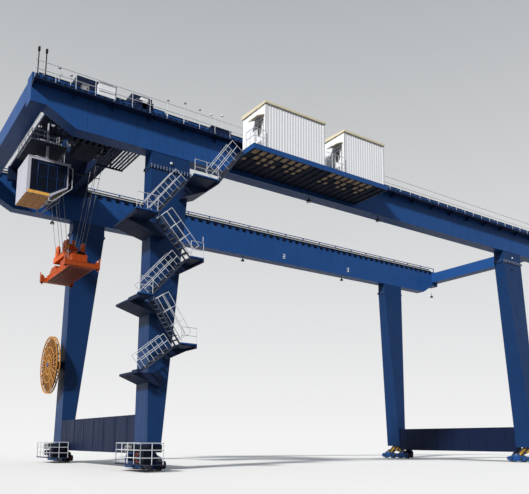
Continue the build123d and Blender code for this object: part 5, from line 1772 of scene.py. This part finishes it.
def make_leg_flanges(sizes):
    """Bolts round the flanges under the leg saddles, with a hatch ring and a lamp on each leg."""
    piece = Piece()
    saddle_length, edge, flange_drop, bolt_half, bolt_radius = 1.47, 0.04, 0.51, 0.062, 0.013
    joint = near_girder[0].z - flange_drop
    hatch = [(0, 0.11), (0.014, 0.11), (0.014, 0.085), (0.006, 0.08)]
    lamp = [(0, 0.045), (0.02, 0.045), (0.035, 0.03)]

    def bolt_at(x, y):
        return item_rod((x, y, joint - bolt_half), (x, y, joint + bolt_half), bolt_radius, 6)

    for name in ("leg_near_left", "leg_near_right", "leg_far_left", "leg_far_right"):
        low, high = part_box(name)
        if "near" in name:
            web, start, out = near_girder[0].y, near_girder[1].y - 0.06, -1
        else:
            web, start, out = far_girder[1].y, far_girder[0].y + 0.06, 1
        x0, x1 = (low.x, low.x + saddle_length) if "left" in name else (high.x - saddle_length, high.x)
        row(piece, bolt_at(x0 + edge, web + out * 0.022), x0 + edge, x1 - edge, sizes.bolt_pitch, "zinc")
        count, step = even(start, web, sizes.bolt_pitch)
        for x in (x0 + 0.022, x1 - 0.022):
            repeat(piece, bolt_at(x, start), count, (0, step, 0), "zinc")
        middle = (x0 + x1) / 2 - 0.1
        piece.turned(hatch, (middle, web, joint - 0.42), (0, out, 0), "navy", 20)
        piece.turned(lamp, (middle + 0.1, web, joint + 0.24), (0, out, 0), "lens", 16)
    piece.finish("leg_flange_bolts", "gantry")


def segment_digit(piece, digit, place, size, out, look):
    """A plain digit of bars on a face that looks along Y, from its lower left corner."""
    width = size * 0.55
    bar = size * 0.15
    half = (size - bar) / 2
    bars = {
        "low": ((0, 0), (width, bar)), "middle": ((0, half), (width, half + bar)),
        "top": ((0, size - bar), (width, size)), "left_low": ((0, 0), (bar, half + bar)),
        "left_top": ((0, half), (bar, size)), "right_low": ((width - bar, 0), (width, half + bar)),
        "right_top": ((width - bar, half), (width, size)),
    }
    lit = {
        1: ("right_low", "right_top"), 2: ("top", "right_top", "middle", "left_low", "low"),
        3: ("top", "right_top", "middle", "right_low", "low"),
        4: ("left_top", "middle", "right_top", "right_low"),
    }
    for number, name in enumerate(lit[digit]):
        (x0, z0), (x1, z1) = bars[name]
        deep = out * (0.003 + 0.0004 * number)
        piece.box(
            (place.x + x0, place.y, place.z + z0), (place.x + x1, place.y + deep, place.z + z1), look,
        )


def make_bay_numbers(sizes):
    """Plain bay numbers on the far girder's inner face and one on the near left leg."""
    piece = Piece()
    inner = far_girder[0].y
    for digit, along in ((1, 6.15), (2, 11.03), (3, 15.48)):
        segment_digit(piece, digit, Vector((leg_left + along, inner, 10.36)), sizes.digit_height, -1, "white")
    segment_digit(piece, 4, Vector((leg_left + 0.3, near_girder[0].y, 8.72)), 0.42, -1, "white")
    piece.finish("bay_numbers", "gantry")


def make_girder_lamps(sizes):
    """Flood lamps under the girders, masts at the near girder's end and lamp poles along its walkway."""
    piece = Piece()
    girder_low = near_girder[0].z
    far_y = (far_girder[0].y + far_girder[1].y) / 2
    near_y = near_girder[0].y + 0.1
    places = [(leg_left + along, far_y, girder_low) for along in (8.7, 15.3)]
    places += [(leg_left + along, near_y, girder_low) for along in (6.5, 10.12)]
    places += [(leg_left - 0.8, far_y, girder_low), (leg_right + 3.0, far_y, girder_low + 0.05)]
    shade = [(0, 0.03), (0.05, 0.075), (0.11, 0.095), (0.12, 0.095)]
    for x, y, z in places:
        piece.rod((x, y, z + 0.06), (x, y, z - 0.14), 0.012, "black", 8)
        piece.turned(shade, (x, y, z - 0.12), (0, 0, -1), "black", 14)
        piece.turned([(0, 0.08), (0.006, 0.08)], (x, y, z - 0.24), (0, 0, -1), "lens", 14)
    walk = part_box("walkway_near")
    y = (walk[0].y + walk[1].y) / 2
    deck = walk[1].z
    mast_top = girder_top + sizes.mast_height
    for x in (leg_left - 3.72, leg_left - 3.5):
        piece.rod((x, y, deck), (x, y, mast_top), 0.017, "black", 8)
        piece.box((x - 0.03, y - 0.03, mast_top - 0.13), (x + 0.03, y + 0.03, mast_top), "black")
    for along, tall, look in (
        (-3.1, 0.62, "zinc"), (-2.75, 0.5, "zinc"), (0.44, 0.75, "zinc"), (1.06, 0.85, "zinc"),
        (1.62, 0.8, "zinc"), (2.06, 0.75, "lens"), (2.5, 0.85, "lens"),
    ):
        x = leg_left + along
        piece.rod((x, y, deck), (x, y, deck + tall), 0.01, "rail", 8)
        piece.turned(
            [(0, 0.02), (0.03, 0.045), (0.06, 0.045)], (x, y, deck + tall + 0.02), (0, 0, -1), look, 10,
        )
    piece.finish("girder_lamps", "gantry")


def make_girder_boxes():
    """Electric boxes on the near girder's walkway, and a cable with its clips along the girder."""
    piece = Piece()
    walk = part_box("walkway_near")
    deck = walk[1].z
    y0, y1 = walk[0].y + 0.02, walk[1].y - 0.02
    # Boxes: start and end along the girder, height and finish
    for start, end, tall, look in (
        (-1.9, -1.36, 0.52, "white"), (-0.7, -0.12, 0.36, "navy"), (-0.1, 0.28, 0.22, "blue"),
        (-2.42, -2.22, 0.26, "zinc"), (2.05, 2.82, 0.3, "navy"), (-0.52, -0.3, 0.5, "white"),
    ):
        x0, x1, top, latch = leg_left + start, leg_left + end, deck + tall, deck + tall * 0.5
        piece.box((x0, y0 + 0.03, deck + 0.04), (x1, y1, top), look)
        piece.box((x0 - 0.01, y0 + 0.02, top), (x1 + 0.01, y1 + 0.01, top + 0.012), "zinc")
        piece.box((x0 + 0.03, y0 + 0.05, deck), (x1 - 0.03, y1 - 0.02, deck + 0.04), "black")
        piece.box((x0 + 0.03, y0 + 0.024, deck + 0.08), (x1 - 0.03, y0 + 0.031, top - 0.04), look)
        piece.box((x1 - 0.07, y0 + 0.012, latch), (x1 - 0.05, y0 + 0.026, latch + 0.06), "black")
    left, right, front = near_girder[0].x, near_girder[1].x, near_girder[0].y
    clip = item_box((left + 0.3, front + 0.05, girder_top), (left + 0.36, front + 0.12, girder_top + 0.05))
    row(piece, clip, left + 0.3, right - 0.4, 0.8, "zinc")
    y, z = front + 0.085, girder_top + 0.065
    piece.tube([(left + 0.2, y, z), (right - 0.2, y, z)], 0.022, "black", 8)
    piece.finish("girder_boxes", "gantry")


class CRANE_OT_drive(bpy.types.Operator):
    """Makes the tube guards, drive motors, wheel covers, pins and buffers at the corners"""

    bl_idname = "crane.drive"
    bl_label = "Gantry drive"

    def execute(self, context):
        make_drive_guards(context.scene.crane_drive)
        make_corner_fittings()
        return {"FINISHED"}


def make_drive_guards(sizes):
    """White tube guards with a floor, and two finned motors, boxes and a cable drum behind each."""
    low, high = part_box("drive_cages")
    piece = Piece()
    guard_length, inset, sill_half = 1.8, 0.02, 0.011
    radius = sizes.guard_radius
    side = leg_left - 0.06
    z = low.z
    left, right = low.x + inset, side - inset
    rail_foot, rail_top, motor_z = z + 0.02, z + 0.6, z + 0.197
    drum = [(0, 0.09), (0.05, 0.1), (0.22, 0.1), (0.24, 0.06)]
    for first in (low.y, high.y - guard_length):
        last = first + guard_length
        near, far = first + inset, last - inset
        piece.box((low.x + 0.01, first + 0.01, z), (side, last - 0.01, z + 0.016), "deck")
        for x in (low.x + sill_half, side - sill_half):
            piece.box((x - sill_half, first, z), (x + sill_half, last, z + 0.04), "navy")
        path = ((right, near), (left, near), (left, far), (right, far))
        tubes(piece, [[(x, y, z + level) for x, y in path] for level in (0.2, 0.41, 0.6)], radius, "rail")
        row(
            piece, item_rod((left, near, rail_foot), (left, near, rail_top), radius), near, far,
            sizes.guard_post_spacing, "rail", axis=1,
        )
        count, step = even(left, right, 0.34)
        for y in (near, far):
            repeat(
                piece, item_rod((left, y, rail_foot), (left, y, rail_top), radius), count, (step, 0, 0),
                "rail",
            )
        for y in (first + 0.54, first + 1.296):
            piece.box((side - 0.24, y - 0.09, z + 0.016), (side - 0.02, y + 0.09, motor_z + 0.12), "navy")
            finned_motor(piece, (side - 0.24, y, motor_z), (-1, 0, 0), 0.1, 0.3, 20, "navy")
        piece.box((low.x + 0.3, first + 0.06, z + 0.35), (side - 0.05, last - 0.5, z + 0.56), "night")
        piece.box((low.x + 0.34, first + 0.8, z + 0.05), (side - 0.05, first + 1.12, z + 0.44), "red")
        piece.box((low.x + 0.16, first + 0.1, z + 0.05), (side - 0.3, first + 0.36, z + 0.46), "night")
        piece.turned(drum, (side - 0.3, last - 0.3, z + 0.44), (-1, 0, 0), "zinc", 14)
        # The bar that carries the guard
        piece.box((side - 0.022, last - 0.022 - 0.55, z), (high.x, last - 0.528, z + 0.044), "navy")
    piece.finish("drive_guards", "gantry", ["drive_cages"])


def make_corner_fittings():
    """Hub covers, pin caps, buffers, steps and end covers on the bogies, and the sills' flanges and ribs."""
    piece = Piece()
    pivot_reach, axle_reach, pivot_z, axle_z, buffer_z = 0.55, 0.26, 0.345, 0.165, 0.18
    pin_cap = [(0, 0.062), (0.014, 0.062), (0.014, 0.04), (0.022, 0.04)]
    hub_cover = [(0, 0.07), (0.012, 0.07), (0.012, 0.045), (0.02, 0.045)]
    rubber = [(0, 0.05), (0.07, 0.05), (0.075, 0.065), (0.13, 0.065), (0.15, 0.04)]
    cover = [(0.02, 0.05), (0.02, 0.36), (0.1, 0.46), (0.22, 0.5), (0.46, 0.5), (0.54, 0.44), (0.54, 0.05)]
    for corner in ("near_left", "far_left", "near_right", "far_right"):
        low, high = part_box(f"bogies_{corner}")
        middle = (low.y + high.y) / 2
        for pivot in (middle - pivot_reach, middle + pivot_reach):
            for side, x in ((-1, low.x + 0.026), (1, high.x - 0.026)):
                piece.turned(pin_cap, (x, pivot, pivot_z), (side, 0, 0), "zinc", 16)
                for axle in (pivot - axle_reach, pivot + axle_reach):
                    piece.turned(hub_cover, (x, axle, axle_z), (side, 0, 0), "navy", 14)
        x = (low.x + high.x) / 2
        outer = low.x - 0.1 if "left" in corner else high.x + 0.03
        for way, y in ((-1, low.y), (1, high.y)):
            piece.box((x - 0.12, y - way * 0.1, 0.1), (x + 0.12, y - way * 0.02, 0.26), "navy")
            piece.turned(rubber, (x, y - way * 0.03, buffer_z), (0, way, 0), "red", 16)
            for step in range(4):
                z = 0.29 + 0.012 * step
                piece.box(
                    (x - 0.02, y - way * 0.2, z), (x + 0.02, y - way * 0.24, 0.295 + 0.012 * step), "zinc",
                )
        for way, y in ((1, low.y), (-1, high.y)):
            piece.prism([(outer, y + way * along, up) for along, up in cover], (0.07, 0, 0), "leg")
    # The sills' flanges and ribs take the same near-black navy: painted shade
    flange_inset, flange_out, rib_start, rib_pitch = 0.02, 0.012, 0.6, 1.05
    for name in ("sill_left", "sill_right"):
        low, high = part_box(name)
        for level in (low.z + flange_inset, high.z - flange_inset):
            piece.box(
                (low.x - flange_out, low.y + flange_inset, level - 0.02),
                (high.x + flange_out, high.y - flange_inset, level + 0.018), "navy",
            )
        first = low.y + rib_start
        rib = item_box((low.x - 0.01, first, low.z + 0.04), (low.x + 0.002, low.y + 0.62, high.z - 0.04))
        row(piece, rib, first, high.y - rib_start, rib_pitch, "navy", axis=1)
    piece.finish("corner_fittings", "gantry")


class CRANE_OT_platform(bpy.types.Operator):
    """Makes the houses' platform with its rails, and the kick strips of the stair's landings"""

    bl_idname = "crane.platform"
    bl_label = "House platform"

    def execute(self, context):
        make_platform_detail(context.scene.crane_rails)
        make_landing_edges()
        return {"FINISHED"}


def make_platform_detail(rails):
    """Joists with flanges, pale bays between them and a fascia under the houses' deck, and its rails."""
    low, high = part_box("house_platform")
    deck = high.z
    plate, deck_thick, joist_pitch = 0.02, 0.025, 0.3
    inner = low.y + plate
    piece = Piece()
    piece.box((low.x, inner, deck - deck_thick), (high.x, high.y, deck), "dark_blue")
    piece.box((low.x, low.y, low.z), (high.x, inner, deck), "blue")
    for x in (low.x, high.x - plate):
        piece.box((x, inner, low.z), (x + plate, high.y, deck - deck_thick), "blue")
    # A near-black sheet across the underside, seen through the open bays, and near-black joists: painted
    # shade under the platform
    piece.box((low.x + plate, inner, low.z + 0.03), (high.x - plate, high.y, low.z + 0.036), "night")
    flange_top = low.z + 0.008
    joist = item_box((low.x + 0.06, inner, flange_top), (low.x + 0.07, high.y, low.z + 0.03))
    joist.box((low.x + 0.03, inner, low.z), (low.x + 0.1, high.y, flange_top), "blue")
    count, step = even(low.x + plate, high.x - 0.1, joist_pitch)
    repeat(piece, joist, count, (step, 0, 0), "night")
    # Pale panels between the joists, in three rows, with some left open
    rows = ((-5.74, -5.44), (-5.34, -5.1), (-5.00, -4.84))
    for bay in (*range(8), *range(11, 18)):
        x = low.x + 0.03 + step * bay
        for line, (y0, y1) in enumerate(rows):
            if line == 0 or (bay * 3 + line) % 4 != 1 + (bay > 13):
                piece.box(
                    (x + 0.075, y0, low.z + 0.024), (x + 0.29 - 0.03 * line, y1, low.z + 0.0299), "beige",
                )
    piece.finish("platform_frame", "gantry", ["house_platform"])
    rail = Piece()
    rail_low, rail_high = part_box("platform_handrail")
    x, y = rail_low.x + 0.01, (rail_low.y + rail_high.y) / 2
    house_1, house_2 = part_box("house_1_walls"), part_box("house_2_walls")
    gap = 0.03
    for start, end in (
        ((x, y), (house_1[0].x - gap, y)), ((house_1[1].x + gap, y), (house_2[0].x - gap, y)),
        ((x, y), (x, -5.32)),
    ):
        railing(rail, (*start, deck), (*end, deck), 0.55, 0.3, rails.tube_radius)
    rail.finish("platform_rails", "gantry", ["platform_handrail"])


def make_landing_edges():
    """A pale kick strip round each stair landing's free edges."""
    piece = Piece()
    thick, below, above, return_length = 0.004, 0.03, 0.045, 0.12
    low_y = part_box("stair_landings")[0].y
    for x0, x1, z in landing_tops():
        foot, top = z - below, z + above
        piece.box((x0, low_y, foot), (x1, low_y + thick, top), "plain_blue")
        for x in (x0, x1 - thick):
            piece.box((x, low_y, foot), (x + thick, low_y + return_length, top), "plain_blue")
    piece.finish("landing_kick_strips", "gantry")


property_groups = (
    ("crane_paints", CranePaints),
    ("crane_stage", CraneStageSizes),
    ("crane_rails", CraneRailSizes),
    ("crane_stair", CraneStairSizes),
    ("crane_houses", CraneHouseSizes),
    ("crane_trolley", CraneTrolleySizes),
    ("crane_girders", CraneGirderSizes),
    ("crane_drive", CraneDriveSizes),
)

operators = (
    CRANE_OT_stage,
    CRANE_OT_paint,
    CRANE_OT_walkways,
    CRANE_OT_stair,
    CRANE_OT_houses,
    CRANE_OT_ropes,
    CRANE_OT_trolley,
    CRANE_OT_cab,
    CRANE_OT_spreader,
    CRANE_OT_reel,
    CRANE_OT_girders,
    CRANE_OT_drive,
    CRANE_OT_platform,
)


class CRANE_PT_panel(bpy.types.Panel):
    """The crane's sizes, colours and steps"""

    bl_idname = "CRANE_PT_panel"
    bl_label = "Gantry Crane"
    bl_space_type = "VIEW_3D"
    bl_region_type = "UI"
    bl_category = "Gantry Crane"

    def draw(self, context):
        for setting, group in property_groups:
            box = self.layout.box()
            for label in group.__annotations__:
                box.prop(getattr(context.scene, setting), label)
        for operator in operators:
            self.layout.operator(operator.bl_idname)


def register():
    """Registers the settings, operators and panel."""
    for setting, group in property_groups:
        bpy.utils.register_class(group)
        setattr(bpy.types.Scene, setting, bpy.props.PointerProperty(type=group))
    for operator in operators:
        bpy.utils.register_class(operator)
    bpy.utils.register_class(CRANE_PT_panel)


def unregister():
    """Removes what register added."""
    bpy.utils.unregister_class(CRANE_PT_panel)
    for operator in reversed(operators):
        bpy.utils.unregister_class(operator)
    for setting, group in reversed(property_groups):
        delattr(bpy.types.Scene, setting)
        bpy.utils.unregister_class(group)


def run(operator):
    """Runs one operator, and stops if it couldn't finish."""
    group, step = operator.bl_idname.split(".")
    if getattr(getattr(bpy.ops, group), step)() != {"FINISHED"}:
        raise RuntimeError(f"{operator.bl_label} didn't finish")


def main():
    """Dresses the crane."""
    register()
    for operator in operators:
        run(operator)


if __name__ == "__main__":
    main()
